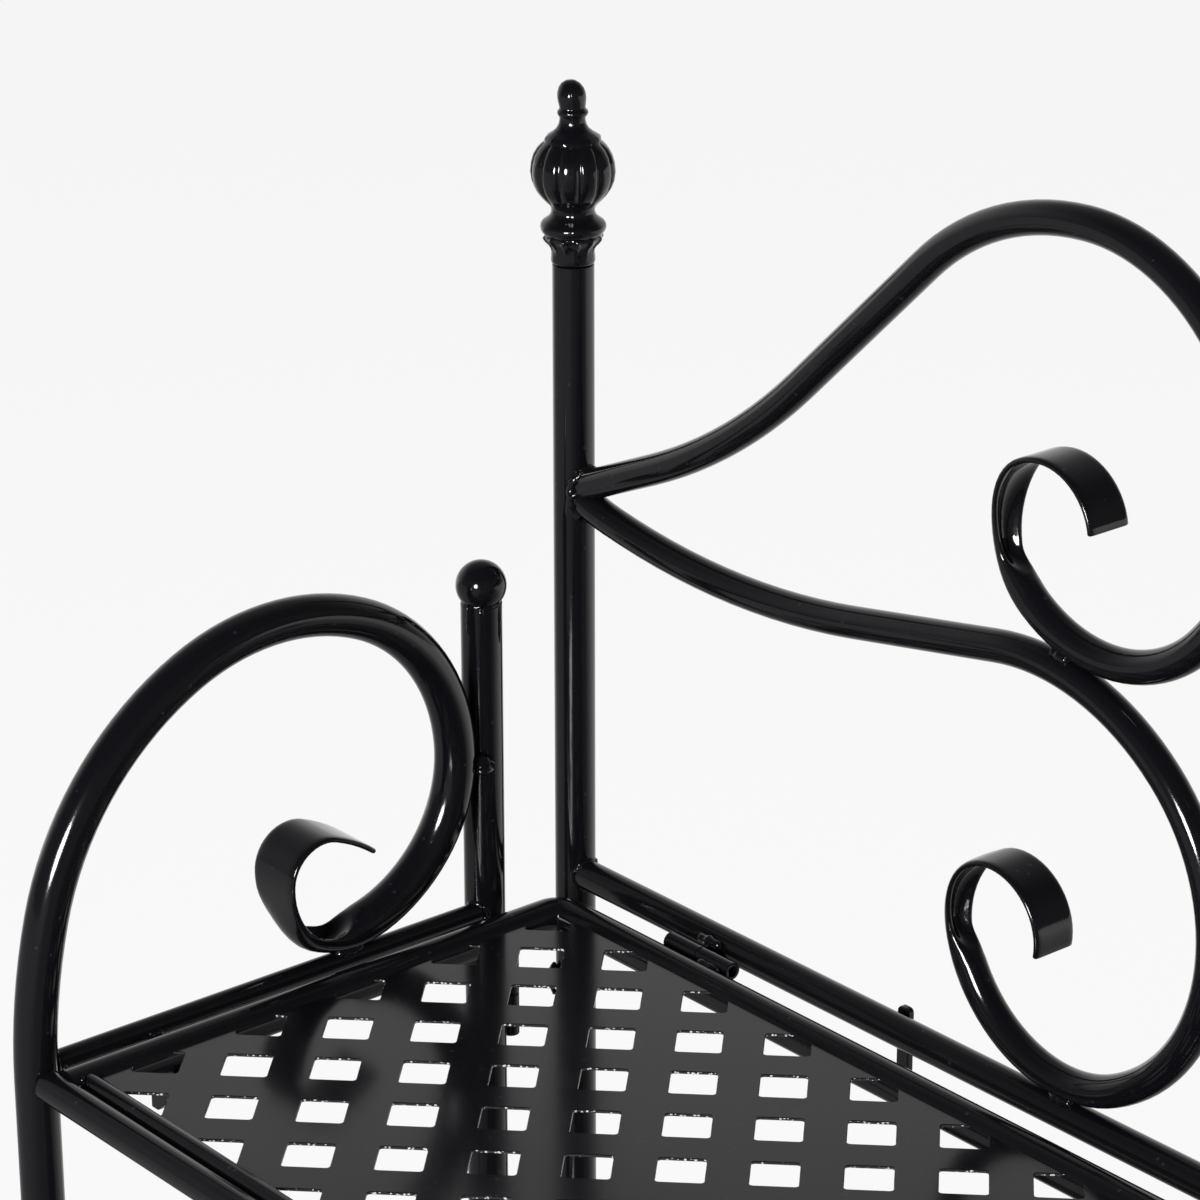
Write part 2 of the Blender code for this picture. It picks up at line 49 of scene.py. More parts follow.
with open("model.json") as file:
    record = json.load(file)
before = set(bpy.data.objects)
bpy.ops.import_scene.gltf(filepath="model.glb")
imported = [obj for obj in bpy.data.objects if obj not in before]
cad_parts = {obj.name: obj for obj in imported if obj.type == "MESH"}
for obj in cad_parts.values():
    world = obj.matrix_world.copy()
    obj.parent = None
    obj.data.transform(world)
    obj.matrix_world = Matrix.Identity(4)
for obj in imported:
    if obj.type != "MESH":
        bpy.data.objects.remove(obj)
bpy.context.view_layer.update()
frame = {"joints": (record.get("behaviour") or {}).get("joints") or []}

SIDES = {"left": -1, "right": 1}
TIERS = ("bottom", "middle", "top")
LEVELS = ("bottom", "top")

# Scrolls: arcs as (radius, turn in degrees), a turn to the left is positive
ARCH_HEADING = 23.5
ARCH_LEAD = ((0.041, 0), (0.280, 20.1))
ARCH_SCROLL = (
    (0.111, -42.4),
    (0.0771, -134.6),
    (0.0577, -81.1),
    (0.0311, -91.0),
    (0.0216, -132.6),
)
LOWER_HEADING = -17.7
LOWER_LEAD = ((0.130, 6.7), (0.366, 21.2))
LOWER_SCROLL = (
    (0.0947, -52.2),
    (0.0757, -110.5),
    (0.0537, -100.6),
    (0.0262, -74.8),
    (0.0210, -129.5),
)
ARM_LEAD = ((0.243, -14.6),)
ARM_SHOULDER_TURN = -49.7
ARM_SCROLL = (
    (0.0925, -49.6),
    (0.0738, -60.9),
    (0.0589, -80.4),
    (0.0337, -93.2),
    (0.0154, -122.5),
    (0.0669, -17.1),
)
CHORD_ERROR = 0.00004
STRAIGHT_STEP = 0.012
SCROLL_SIDES = 36

# Flattened ends: the strip's length, the crimp before it, and how the gutter after it opens and settles
SCROLL_FLAT_LENGTH = 0.071
ARM_FLAT_LENGTH = 0.083
CRIMP_LENGTH = 0.022
CRIMP_FADE = 0.042
CRIMP_STEP = 0.0007
CRIMP_STEPS = 40
SCROLL_SETTLE = 0.090
ARM_SETTLE = 0.034
LIP_REACH = 0.003
LEAST_BEND = 0.02
EDGE_SQUARENESS = 14
HOLLOW_SHARE = 0.14
TIP_ROUNDING = 0.0005
# The inner wall is pressed in two overlapping moves: share of the way, start and length as parts of the crimp
PRESSES = ((0.3, 0.0, 0.7), (0.7, 0.3, 0.68))

# Joints at a post, as shares of its diameter: where rails end beside its axis, how deep scrolls run in
RAIL_END_SHARE = 0.4
SCROLL_BITE_SHARE = 0.3

BALL_SHARE = 0.955
BALL_SEAT_SHARE = 0.45
BALL_ROUNDING = 0.0004

# Shelves: how the dressed frame lies against its solid
FRAME_TUBE = 0.014
FRAME_DROP = 0.0051
FRAME_BACK = 0.0037
FRAME_OUT = 0.0060
FRAME_BEND = 0.0074
FRAME_END = 0.0030
FRONT_BAR_SETBACK = 0.0100
FRONT_BAR_RISE = 0.0020
HOLE_ROW_SETBACK = 0.0783
HOLE_ROWS = 12
STITCH_COLUMNS = 13
SHEET_ROUNDING = 0.00022

# Plates under the side rails, measured from the rail's axis and the back post
PLATE_SETBACK = 0.206
PLATE_NEAR = 0.002
PLATE_FAR = 0.006
PLATE_FOOT = 0.004
PLATE_THICKNESS = 0.004
PLATE_GAP = 0.0003
PLATE_ROUNDING = 0.0006

HOOK_DROP = 0.030
HOOK_RISE = 0.0056
HOOK_THICKNESS = 0.003
HOOK_GAP = 0.0002
HOOK_ROUNDING = 0.0005
HOOK_CORNER_SHARE = 0.32

# Weld beads: facets round one, its ripple, how uneven it is, and the thickness left at a tapered end
BEAD_SIDES = 8
BEAD_RIPPLE, RIPPLE_STEP = 0.16, 2.1
SIZE_SPREAD = (-0.12, 0.12)
SURFACE_SPREAD = (0.92, 1.08)
BEAD_TIP = 0.25

# Short welds by place: length, thickness as a share of the weld size, and how far each of a pair lies from the
# middle of its member, as a share of the radius
DABS = {
    "scroll": (0.009, 1.6, 0.36),
    "scroll middle": (0.011, 1.3, 0.36),
    "scroll foot": (0.011, 1.3, 0.40),
    "hook": (0.007, 0.6, 0),
    "shelf hinge": (0.013, 1.5, 0.45),
    "panel hinge": (0.014, 1.5, 0.35),
    "frame end": (0.006, 0.7, 0.8),
    "shelf barrel": (0.013, 0.9, 0.38),
    "panel barrel": (0.014, 1.2, 0.275),
    "stitch": (0.009, 0.6, 0),
    "plate": (0.005, 0.6, 0.55),
    "arm": (0.008, 2.6, 0.58),
    "arm foot": (0.013, 1.3, 0.5),
}
# Welds all the way round a joint, as a share of the weld size
RAIL_SEAM = 0.8
SCROLL_SEAM = 1.3
SIDE_RAIL_SEAM = 0.7
BALL_SEAM = 0.7
BALL_SEAM_INSET = 0.0012
SEAM_LEAD = 0.02
# Runs of weld below the ball: turn in degrees, length, thickness as a share of the weld size
BALL_RUN_OVERLAP = 0.002
BALL_RUNS = ((-78, 0.010, 0.5), (20, 0.014, 0.5), (-40, 0.002, 0.9), (160, 0.004, 0.7))
SCROLL_WELD_SHIFT = 0.007
ARM_WELD_DROP = 0.0075
ARM_WELD_OFF = 0.0016
WELD_OFFSET = 0.001
PANEL_BARREL_DEPTH = 0.93
PLATE_WELD_DROP = 0.5
# Welds at a frame end: behind and above the axis of the front rail as shares of the radius, and their lean
FRAME_WELD_BACK = 0.8
FRAME_WELD_RISE = 0.55
FRAME_WELD_LEAN = (0, 0.3, 1)

# Specks in a coat: cells per metre, share of the cells that hold one, size within the cell
SPECK_INPUTS = ("Speck Scale", "Speck Share", "Speck Size")
SPARSE_SPECKS = (330, 0.07, 0.22)
SPECK_SHADE = 0.002
SPECK_BRIGHTNESS = 3
# Burrs on the punched edges: their bumps are grain, and their bright colour is painted glints
BURR_PAINTED_GLINTS = (850, 0.5, 0.42)
BURR_PAINTED_GLINT_LIFT = 0.5
# The colour of the cut edges is lifted above the coat's as a painted sheen
CUT_EDGE_PAINTED_SHEEN = 0.02
# Noise in a coat: scale, detail, roughness. Depth of each layer, and how far wear moves the roughness
LINE_NOISE = (1.0, 3.0, 0.6)
PEEL_NOISE = (780, 2.0, 0.55)
WAVE_NOISE = (95, 2.0, 0.5)
LINE_DEPTH, WAVE_DEPTH, SPECK_DEPTH = 0.9, 1.6, 0.8
LINE_STRETCH = (34, 1.6, 1)
WEAR = 0.05
# Orange peel of each coat: strength, and depth of the whole relief
TUBE_PEEL = (1.0, 0.000009)
SHEET_PEEL = (0.4, 0.000008)
CUT_PEEL = (3.0, 0.0002)
CAST_PEEL = (1.6, 0.00002)
WELD_PEEL = (2.0, 0.00005)
FOOT_PEEL = (2.5, 0.00005)

# Camera of the stage
LENS = 127.08
SENSOR = 36
CAMERA_PLACE = (0.83002, -0.85128, 1.38537)
CAMERA_HEADING = 49.977
CAMERA_TILT = 68.866
CAMERA_ROLL = -0.082
# Light boxes: turn from the camera's side and rise in degrees, distance, diameter
FRONT_BOX = (-22, 12, 2.2, 0.62)
TOP_BOX = (160, 62, 2.6, 2.0)
SOFT_LIGHT = 0.35
FLOOR_WIDTH = 100
FLOOR_WHITE_SHARE = 0.92
# Surroundings in mirrored rays: direction in degrees, reach over which the brightness changes, and its two ends
FLOOR_TURN = CAMERA_HEADING + 62
FLOOR_REACH = (0.0, 1.8)
FLOOR_MIRRORED = (0.14, 1.0)
BESIDE_TURN = CAMERA_HEADING + 180
BESIDE_REACH = (0.0, 1.5)
BESIDE_MIRRORED = (0.0, 0.20)
BACKDROP_TURN = CAMERA_HEADING + 95
BACKDROP_REACH = (0.0, 0.85)
BACKDROP_MIRRORED = (0.12, 1.0)
SKY_REACH = (0.22, 0.72)
SKY_MIRRORED = (0.88, 0.24)


def level_direction(turn):
    """A level direction, as the turn in degrees from +X."""
    return Vector((math.cos(math.radians(turn)), math.sin(math.radians(turn)), 0))


def middle(node):
    low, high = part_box(node)
    return (low + high) / 2


def breadth(node, axis):
    low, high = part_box(node)
    return high[axis] - low[axis]


def joint_place(body):
    """The point that the joint of this body turns about."""
    return Vector(next(joint["pos_m"] for joint in frame["joints"] if joint["child"] == body))


def length_setting(name, description, default):
    form = {"unit": "LENGTH", "subtype": "DISTANCE", "precision": 4}
    return bpy.props.FloatProperty(name=name, description=description, default=default, min=0.0, **form)


def colour_setting(name, description, default):
    form = {"size": 3, "min": 0.0, "max": 1.0, "subtype": "COLOR"}
    return bpy.props.FloatVectorProperty(name=name, description=description, default=default, **form)


def share_setting(name, description, default):
    form = {"min": 0.0, "max": 1.0, "subtype": "FACTOR"}
    return bpy.props.FloatProperty(name=name, description=description, default=default, **form)


def power_setting(name, description, default):
    return bpy.props.FloatProperty(name=name, description=description, default=default, min=0.0, unit="POWER")


def count_setting(name, description, default, least, most):
    return bpy.props.IntProperty(name=name, description=description, default=default, min=least, max=most)


class StandSizes(bpy.types.PropertyGroup):
    """Sizes of the stand's tubes, strips, sheet and welds"""

    post_diameter: length_setting(
        "Post Diameter", "Outside diameter of the posts and legs", breadth("back_post_left", 0)
    )
    tube_diameter: length_setting(
        "Tube Diameter", "Outside diameter of rails, frames and scrolls", breadth("back_rail_top", 1)
    )
    side_rail_diameter: length_setting("Side Rail Diameter", "Outside diameter of the side rails", 0.008)
    tube_wall: length_setting("Tube Wall", "Wall of every tube", 0.0012)
    strip_thickness: length_setting("Strip Thickness", "Thickness of a flattened tube end", 0.0024)
    scroll_strip: length_setting("Scroll Strip", "Width of the flattened scroll ends", 0.0188)
    arm_strip: length_setting("Arm Strip", "Width of the flattened arm ends", 0.0248)
    hole_size: length_setting("Hole Size", "Side of a punched square", 0.017)
    hole_pitch: length_setting("Hole Pitch", "Distance between punched squares along their sides", 0.03227)
    hole_corner: length_setting("Hole Corner", "Radius of a punched corner", 0.0014)
    barrel_diameter: length_setting("Barrel Diameter", "Outside diameter of a hinge barrel", 0.007)
    pin_diameter: length_setting("Pin Diameter", "Diameter of a hinge pin", 0.0034)
    weld_size: length_setting("Weld Size", "Thickness of a weld bead", 0.0030)
    tube_sides: count_setting("Tube Sides", "Facets round a straight tube", 48, 12, 128)
    lobes: count_setting("Finial Lobes", "Lobes round the bulb of a finial", 12, 4, 24)


class StandFinish(bpy.types.PropertyGroup):
    """Colours and gloss of the coated steel and the foot caps"""

    coat_colour: colour_setting("Coat Colour", "Colour of the powder coat", (0.0040, 0.0040, 0.0056))
    coat_roughness: share_setting("Coat Roughness", "Roughness of the coat on tubes and castings", 0.11)
    sheet_roughness: share_setting("Sheet Roughness", "Roughness of the coat on the punched sheets", 0.17)
    coat_gloss: share_setting("Coat Gloss", "Specular level of the powder coat", 0.5)
    foot_colour: colour_setting("Foot Colour", "Colour of the foot caps", (0.012, 0.012, 0.013))
    foot_roughness: share_setting("Foot Roughness", "Roughness of the foot caps", 0.5)


class StandStage(bpy.types.PropertyGroup):
    """Floor and studio light"""

    floor_colour: colour_setting("Floor Colour", "Colour of the pale floor", (0.9, 0.9, 0.9))
    white: share_setting("White", "Brightness of the background", 0.96)
    front_light: power_setting("Front Light", "Power of the small box beside the camera", 46.0)
    top_light: power_setting("Top Light", "Power of the wide box overhead", 45.0)


def sizes():
    return bpy.context.scene.stand_sizes


def finish():
    return bpy.context.scene.stand_finish


# Modelling by operators


def deselect():
    if bpy.context.mode != "OBJECT":
        bpy.ops.object.mode_set(mode="OBJECT")
    bpy.ops.object.select_all(action="DESELECT")


def activate(piece):
    deselect()
    piece.select_set(True)
    bpy.context.view_layer.objects.active = piece


def begin(add, **settings):
    """Adds a primitive, puts its place into its mesh and enters edit mode."""
    deselect()
    add(**settings)
    piece = bpy.context.object
    bpy.ops.object.transform_apply(location=True, rotation=True, scale=True)
    bpy.ops.object.mode_set(mode="EDIT")
    return piece


def choose(piece, kind, test):
    """Selects the faces, edges or vertices that pass the test."""
    bpy.ops.mesh.select_mode(type=kind)
    bpy.ops.mesh.select_all(action="DESELECT")
    bm = bmesh.from_edit_mesh(piece.data)
    rows = {"VERT": bm.verts, "EDGE": bm.edges, "FACE": bm.faces}[kind]
    found = [row for row in rows if test(row)]
    if not found:
        raise RuntimeError(f"nothing to select on {piece.name}")
    for row in found:
        row.select_set(True)
    bmesh.update_edit_mesh(piece.data)


def face_middle(face):
    return face.calc_center_median()


def edge_middle(edge):
    return (edge.verts[0].co + edge.verts[1].co) / 2


def leave(piece, name, angle=35):
    """Leaves edit mode, names the piece and smooths its round faces."""
    bpy.ops.object.mode_set(mode="OBJECT")
    piece.name = piece.data.name = name
    activate(piece)
    bpy.ops.object.shade_smooth_by_angle(angle=math.radians(angle))
    return piece


def apply_modifier(piece, modifier):
    activate(piece)
    bpy.ops.object.modifier_apply(modifier=modifier.name)


def soften(piece, offset, angle=35, segments=2):
    """Rounds the sharp edges of the piece a little."""
    modifier = piece.modifiers.new("soft edges", "BEVEL")
    modifier.width = offset
    modifier.segments = segments
    modifier.limit_method = "ANGLE"
    modifier.angle_limit = math.radians(angle)
    modifier.harden_normals = False
    apply_modifier(piece, modifier)


def punch_out(piece, tool):
    """Cuts the tool out of the piece, and deletes the tool."""
    modifier = piece.modifiers.new("punch out", "BOOLEAN")
    modifier.operation = "DIFFERENCE"
    modifier.solver = "EXACT"
    modifier.object = tool
    apply_modifier(piece, modifier)
    bpy.data.objects.remove(tool)


def join(pieces, name):
    deselect()
    for piece in pieces:
        piece.select_set(True)
    bpy.context.view_layer.objects.active = pieces[0]
    bpy.ops.object.join()
    pieces[0].name = pieces[0].data.name = name
    return pieces[0]


def copied(piece, name, move):
    """A copy with its own mesh, moved to its place."""
    activate(piece)
    bpy.ops.object.duplicate(linked=False)
    made = bpy.context.object
    made.name = made.data.name = name
    made.location = move
    bpy.ops.object.transform_apply(location=True, rotation=True, scale=True)
    return made


def from_mesh(name, bm, angle=35):
    """An object of swept or turned mesh code."""
    bmesh.ops.recalc_face_normals(bm, faces=bm.faces)
    mesh = bpy.data.meshes.new(name)
    bm.to_mesh(mesh)
    bm.free()
    piece = bpy.data.objects.new(name, mesh)
    bpy.context.scene.collection.objects.link(piece)
    activate(piece)
    bpy.ops.object.shade_smooth_by_angle(angle=math.radians(angle))
    return piece


def dress(piece, body, slot, material, *nodes):
    """Gives the piece its finish, its body and the CAD nodes that it stands for."""
    piece.data.materials.clear()
    piece.data.materials.append(material)
    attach(piece, body)
    if nodes:
        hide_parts(*nodes)


def rod(start, end, diameter, sides):
    """A plain cylinder between two points, in edit mode."""
    along = end - start
    return begin(
        bpy.ops.mesh.primitive_cylinder_add,
        vertices=sides,
        radius=diameter / 2,
        depth=along.length,
        location=(start + end) / 2,
        rotation=along.to_track_quat("Z", "Y").to_euler(),
    )


def tube(name, start, end, diameter, open_end=False, sides=None):
    """A straight tube with rounded rims."""
    start, end = Vector(start), Vector(end)
    along = end - start
    axis = along.normalized()
    piece = rod(start, end, diameter, sides or sizes().tube_sides)
    if open_end:
        choose(piece, "FACE", lambda face: len(face.verts) > 4 and (face_middle(face) - end).length < 1e-4)
        bpy.ops.mesh.inset(thickness=sizes().tube_wall)
        bpy.ops.mesh.extrude_region_move(TRANSFORM_OT_translate={"value": -diameter * axis})

    def on_rim(edge):
        off = edge_middle(edge) - start
        rise = off.dot(axis)
        if min(abs(rise), abs(rise - along.length)) > 1e-5:
            return False
        return (off - rise * axis).length > 0.2 * diameter

    choose(piece, "EDGE", on_rim)
    bpy.ops.mesh.bevel(offset=sizes().tube_wall / 3, segments=2, affect="EDGES")
    leave(piece, name, 20)
    lay_uv(piece, start, axis)
    return piece


def lay_uv(piece, start, axis):
    """A UV map with the turn round the tube and the distance along it."""
    side = axis.orthogonal().normalized()
    other = axis.cross(side)
    layer = piece.data.uv_layers.active or piece.data.uv_layers.new(name="along")
    layer.name = "along"
    for polygon in piece.data.polygons:
        turns = []
        for index in polygon.loop_indices:
            off = piece.data.vertices[piece.data.loops[index].vertex_index].co - start
            turn = math.atan2(off.dot(other), off.dot(side)) / (2 * math.pi)
            if turns and turn - turns[0] > 0.5:
                turn -= 1
            elif turns and turn - turns[0] < -0.5:
                turn += 1
            turns.append(turn)
            layer.data[index].uv = (turn, off.dot(axis))


# Scrolled members


def follow(runs, heading):
    """Steps (u, w, heading, length) along arcs (radius, turn) and straight runs (length, 0)."""
    u = w = length = 0.0
    steps = [(u, w, heading, length)]
    for size, turn in runs:
        angle = math.radians(turn)
        count = max(1, math.ceil(size / STRAIGHT_STEP))
        if turn:
            count = math.ceil(abs(angle) / (2 * math.acos(1 - CHORD_ERROR / size)))
        part = angle / count
        chord = 2 * size * math.sin(abs(part) / 2) if turn else size / count
        for _ in range(count):
            u += chord * math.cos(heading + part / 2)
            w += chord * math.sin(heading + part / 2)
            heading += part
            length += size * abs(part) if turn else chord
            steps.append((u, w, heading, length))
    return steps


def turned(runs, heading):
    return heading + math.radians(sum(turn for _, turn in runs))


def with_run(lead, scroll, heading, reach):
    """The runs of a member whose straight middle run carries the scroll out to this reach."""
    farthest = max(step[0] for step in follow(scroll, turned(lead, heading)))
    start = follow(lead, heading)[-1][0]
    run = (reach - start - farthest) / math.cos(turned(lead, heading))
    return (*lead, (run, 0), *scroll)


def with_shoulder(lead, turn, scroll, heading, reach):
    """The runs of a member whose shoulder arc carries the scroll out to this reach."""
    before = turned(lead, heading)
    after = before + math.radians(turn)
    farthest = max(step[0] for step in follow(scroll, after))
    start = follow(lead, heading)[-1][0]
    radius = (reach - start - farthest) / abs(math.sin(after) - math.sin(before))
    return (*lead, (radius, turn), *scroll)


def raised(steps, rise):
    return [(u, w + rise, heading, length) for u, w, heading, length in steps]


def smooth(share):
    share = min(max(share, 0), 1)
    return share * share * (3 - 2 * share)


def sweep(name, steps, diameter, strip, flat_length, settle, place):
    """A tube that is crimped flat from its inner side and ends as a strip, with a UV map along it."""
    radius, half = diameter / 2, sizes().strip_thickness / 2
    end = steps[-1][3]
    rows = dense_rows(steps, end - flat_length - CRIMP_LENGTH)
    bm = bmesh.new()
    layer = bm.loops.layers.uv.new("along")
    rings = []
    for u, w, heading, length, inset in rows:
        beyond = length - (end - flat_length)
        ring = []
        for index in range(SCROLL_SIDES):
            angle = 2 * math.pi * index / SCROLL_SIDES
            out, across = section(angle, radius, half - inset, strip / 2 - inset, beyond, settle)
            point = place(u - out * math.sin(heading), w + out * math.cos(heading), across)
            ring.append(bm.verts.new(point))
        rings.append((ring, length))
    for (lower, before), (upper, after) in zip(rings, rings[1:]):
        for index in range(SCROLL_SIDES):
            beside = (index + 1) % SCROLL_SIDES
            face = bm.faces.new((lower[index], lower[beside], upper[beside], upper[index]))
            turns = (index, index + 1, index + 1, index)
            for loop, turn, run in zip(face.loops, turns, (before, before, after, after)):
                loop[layer].uv = (turn / SCROLL_SIDES, run)
    bm.faces.new(rings[0][0])
    bm.faces.new(rings[-1][0])
    return from_mesh(name, bm, 50)


def dense_rows(steps, crimp_start):
    """The steps with closer ones over the crimp and a rounded cut at the tip."""
    crimp = {crimp_start + CRIMP_STEP * number for number in range(CRIMP_STEPS)}
    edge, last = TIP_ROUNDING, steps[-1][3]
    marks = [mark for mark in sorted({step[3] for step in steps} | crimp) if mark < last - 1.5 * edge]
    rows = []
    index = 0
    for mark in (*marks, last - edge, last - edge / 3, last):
        while index < len(steps) - 2 and steps[index + 1][3] < mark:
            index += 1
        first, second = steps[index], steps[index + 1]
        share = (mark - first[3]) / max(second[3] - first[3], 1e-9)
        place = [a + (b - a) * share for a, b in zip(first, second)]
        inset = {last: edge, last - edge / 3: edge / 2}.get(mark, 0.0)
        rows.append((*place, inset))
    return rows


def section(angle, radius, half, wide, beyond, settle):
    """A point (out, across) of the cross section this far beyond the end of the crimp.

    The inner wall is pressed into the outer one, and the gutter that this gives opens out to a flat strip.
    """
    pressed = smooth(1 + beyond / CRIMP_LENGTH)
    opened = smooth((beyond + 0.5 * CRIMP_LENGTH) / CRIMP_FADE)
    bend = max(0.5 * math.pi * (1 - opened), LEAST_BEND)
    girth = math.pi * radius + (2 * wide - math.pi * radius) * opened
    curve = girth / (2 * bend)
    apex = radius - (radius - half) * smooth(beyond / settle)
    outside = math.cos(angle) >= 0
    share = angle_share(angle)
    share *= 1.5 - 0.5 * share * share
    edge = math.sqrt(max(0.0, 1 - abs(share) ** EDGE_SQUARENESS)) * (1 - HOLLOW_SHARE * (1 - share * share))
    turn = bend * share
    core = curve - half
    reach = core + half * edge if outside else core - half * edge
    gutter = (apex - curve + reach * math.cos(turn), reach * math.sin(turn))
    tube_point = (radius * math.cos(angle), radius * math.sin(angle))
    if outside:
        blend = pressed
    else:
        lip = 1 + (beyond + LIP_REACH * (1 - share * share)) / CRIMP_LENGTH
        blend = sum(part * smooth((lip - start) / length) for part, start, length in PRESSES)
    return tuple(a + (b - a) * blend for a, b in zip(tube_point, gutter))


def angle_share(angle):
    """Where a point lies across its wall: -1 and 1 at the edges, 0 in the middle."""
    turn = math.remainder(angle, 2 * math.pi)
    if abs(turn) <= math.pi / 2 + 1e-9:
        return turn / (math.pi / 2)
    return math.copysign(math.pi - abs(turn), turn) / (math.pi / 2)


def back_paths():
    """Steps of the arch and the lower member, from the surface of the left post."""
    post = middle("back_post_left")
    surface = post.x + sizes().post_diameter / 2
    radius = sizes().tube_diameter / 2
    paths = []
    for name, heading, lead, scroll in (
        ("arch_scroll_left", ARCH_HEADING, ARCH_LEAD, ARCH_SCROLL),
        ("lower_scroll_left", LOWER_HEADING, LOWER_LEAD, LOWER_SCROLL),
    ):
        low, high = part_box(name)
        heading = math.radians(heading)
        runs = with_run(lead, scroll, heading, high.x - surface - radius)
        steps = follow(runs, heading)
        if name.startswith("arch"):
            rise = high.z - radius - max(step[1] for step in steps)
        else:
            first = len(follow(runs[: len(lead) + 1], heading))
            rise = low.z + radius - min(step[1] for step in steps[first:])
        paths.append(raised(steps, rise))
    return paths


def place_back(sign):
    post = middle("back_post_left")
    surface = post.x + sizes().post_diameter / 2

    def place(u, w, across):
        return Vector((-sign * (surface + u), post.y + across, w))

    return place


def arm_path():
    """Steps of the leg and its arm: u runs backwards from the leg's axis, w is the height."""
    foot = middle("leg_foot_left")
    low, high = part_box("scroll_leg_left")
    radius = sizes().post_diameter / 2
    upright = math.radians(90)
    reach = high.y - radius - foot.y
    runs = with_shoulder(ARM_LEAD, ARM_SHOULDER_TURN, ARM_SCROLL, upright, reach)
    top = max(step[1] for step in follow(runs, upright))
    bend = high.z - radius - top
    return raised(follow(((bend - low.z, 0), *runs), upright), low.z)


def place_arm(sign):
    foot = middle("leg_foot_left")

    def place(u, w, across):
        return Vector((-sign * foot.x + across, foot.y + u, w))

    return place


def into_post(steps, depth):
    """The steps with a straight lead into the post."""
    u, w, heading, _ = steps[0]
    lead = (u - depth * math.cos(heading), w - depth * math.sin(heading), heading, -depth)
    return [lead, *steps]


# Welds


def bead(bm, points, size, seed, closed=False, taper=False):
    """An uneven weld bead along the points."""
    draw = random.Random(seed)
    count, around = len(points), BEAD_SIDES
    ripple = draw.uniform(0, 6.28)
    rings = []
    for index, point in enumerate(points):
        before = points[index - 1] if index or closed else point
        after = points[(index + 1) % count] if index < count - 1 or closed else point
        along = (after - before).normalized()
        side = along.orthogonal().normalized()
        other = along.cross(side)
        rippled = 1 + BEAD_RIPPLE * math.sin(RIPPLE_STEP * index + ripple)
        reach = size / 2 * (rippled + draw.uniform(*SIZE_SPREAD))
        if taper:
            share = 2 * index / (count - 1) - 1
            reach *= BEAD_TIP + (1 - BEAD_TIP) * math.sqrt(max(0, 1 - share * share))
        ring = []
        for turn in range(around):
            angle = 2 * math.pi * turn / around
            offset = math.cos(angle) * side + math.sin(angle) * other
            ring.append(bm.verts.new(point + reach * draw.uniform(*SURFACE_SPREAD) * offset))
        rings.append(ring)
    pairs = list(zip(rings, rings[1:]))
    if closed:
        pairs.append((rings[-1], rings[0]))
    for lower, upper in pairs:
        shift = 0
        if closed and upper is rings[0]:
            shift = min(range(around), key=lambda k: (lower[0].co - upper[k].co).length)
        for turn in range(around):
            beside = (turn + 1) % around
            bm.faces.new(
                (lower[turn], lower[beside], upper[(beside + shift) % around], upper[(turn + shift) % around])
            )
    if not closed:
        bm.faces.new(rings[0])
        bm.faces.new(rings[-1])


def saddle(axis_point, along, radius, post_axis, post_radius, count=28):
    """The closed line where a rail of this radius runs into an upright post."""
    along = Vector(along).normalized()
    up = Vector((0, 0, 1))
    side = along.cross(up).normalized()
    rise = side.cross(along)
    points = []
    for index in range(count):
        angle = 2 * math.pi * index / count
        base = Vector(axis_point) + radius * (math.cos(angle) * side + math.sin(angle) * rise)
        flat = Vector((along.x, along.y, 0))
        off = Vector((base.x - post_axis[0], base.y - post_axis[1], 0))
        a = flat.dot(flat)
        b = off.dot(flat)
        c = off.dot(off) - post_radius**2
        reach = (-b - math.sqrt(max(0, b * b - a * c))) / a
        points.append(base + reach * along)
    return points


def short_line(centre, along, length, count=9):
    along = Vector(along).normalized()
    return [Vector(centre) + along * length * (index / (count - 1) - 0.5) for index in range(count)]


def ring_line(centre, radius, count=28):
    angles = [2 * math.pi * index / count for index in range(count)]
    return [Vector(centre) + radius * Vector((math.cos(angle), math.sin(angle), 0)) for angle in angles]


def nearest(first, second):
    """The nearest pair of steps of two members."""
    pairs = ((a, b) for a in first for b in second)
    return min(pairs, key=lambda pair: (pair[0][0] - pair[1][0]) ** 2 + (pair[0][1] - pair[1][1]) ** 2)


# Finishes


def add_node(tree, kind, inputs=None, **settings):
    """A new node with these settings. Numbers are set on its inputs, and outputs are linked to them."""
    made = tree.nodes.new(kind)
    for name, value in settings.items():
        setattr(made, name, value)
    for name, value in (inputs or {}).items():
        if isinstance(value, bpy.types.NodeSocket):
            tree.links.new(value, made.inputs[name])
        else:
            made.inputs[name].default_value = value
    return made


def combined(tree, operation, first, second):
    return add_node(tree, "ShaderNodeMath", {0: first, 1: second}, operation=operation).outputs[0]


def clouds(tree, place, scale, detail, roughness):
    inputs = {"Vector": place, "Scale": scale, "Detail": detail, "Roughness": roughness}
    return add_node(tree, "ShaderNodeTexNoise", inputs).outputs["Fac"]


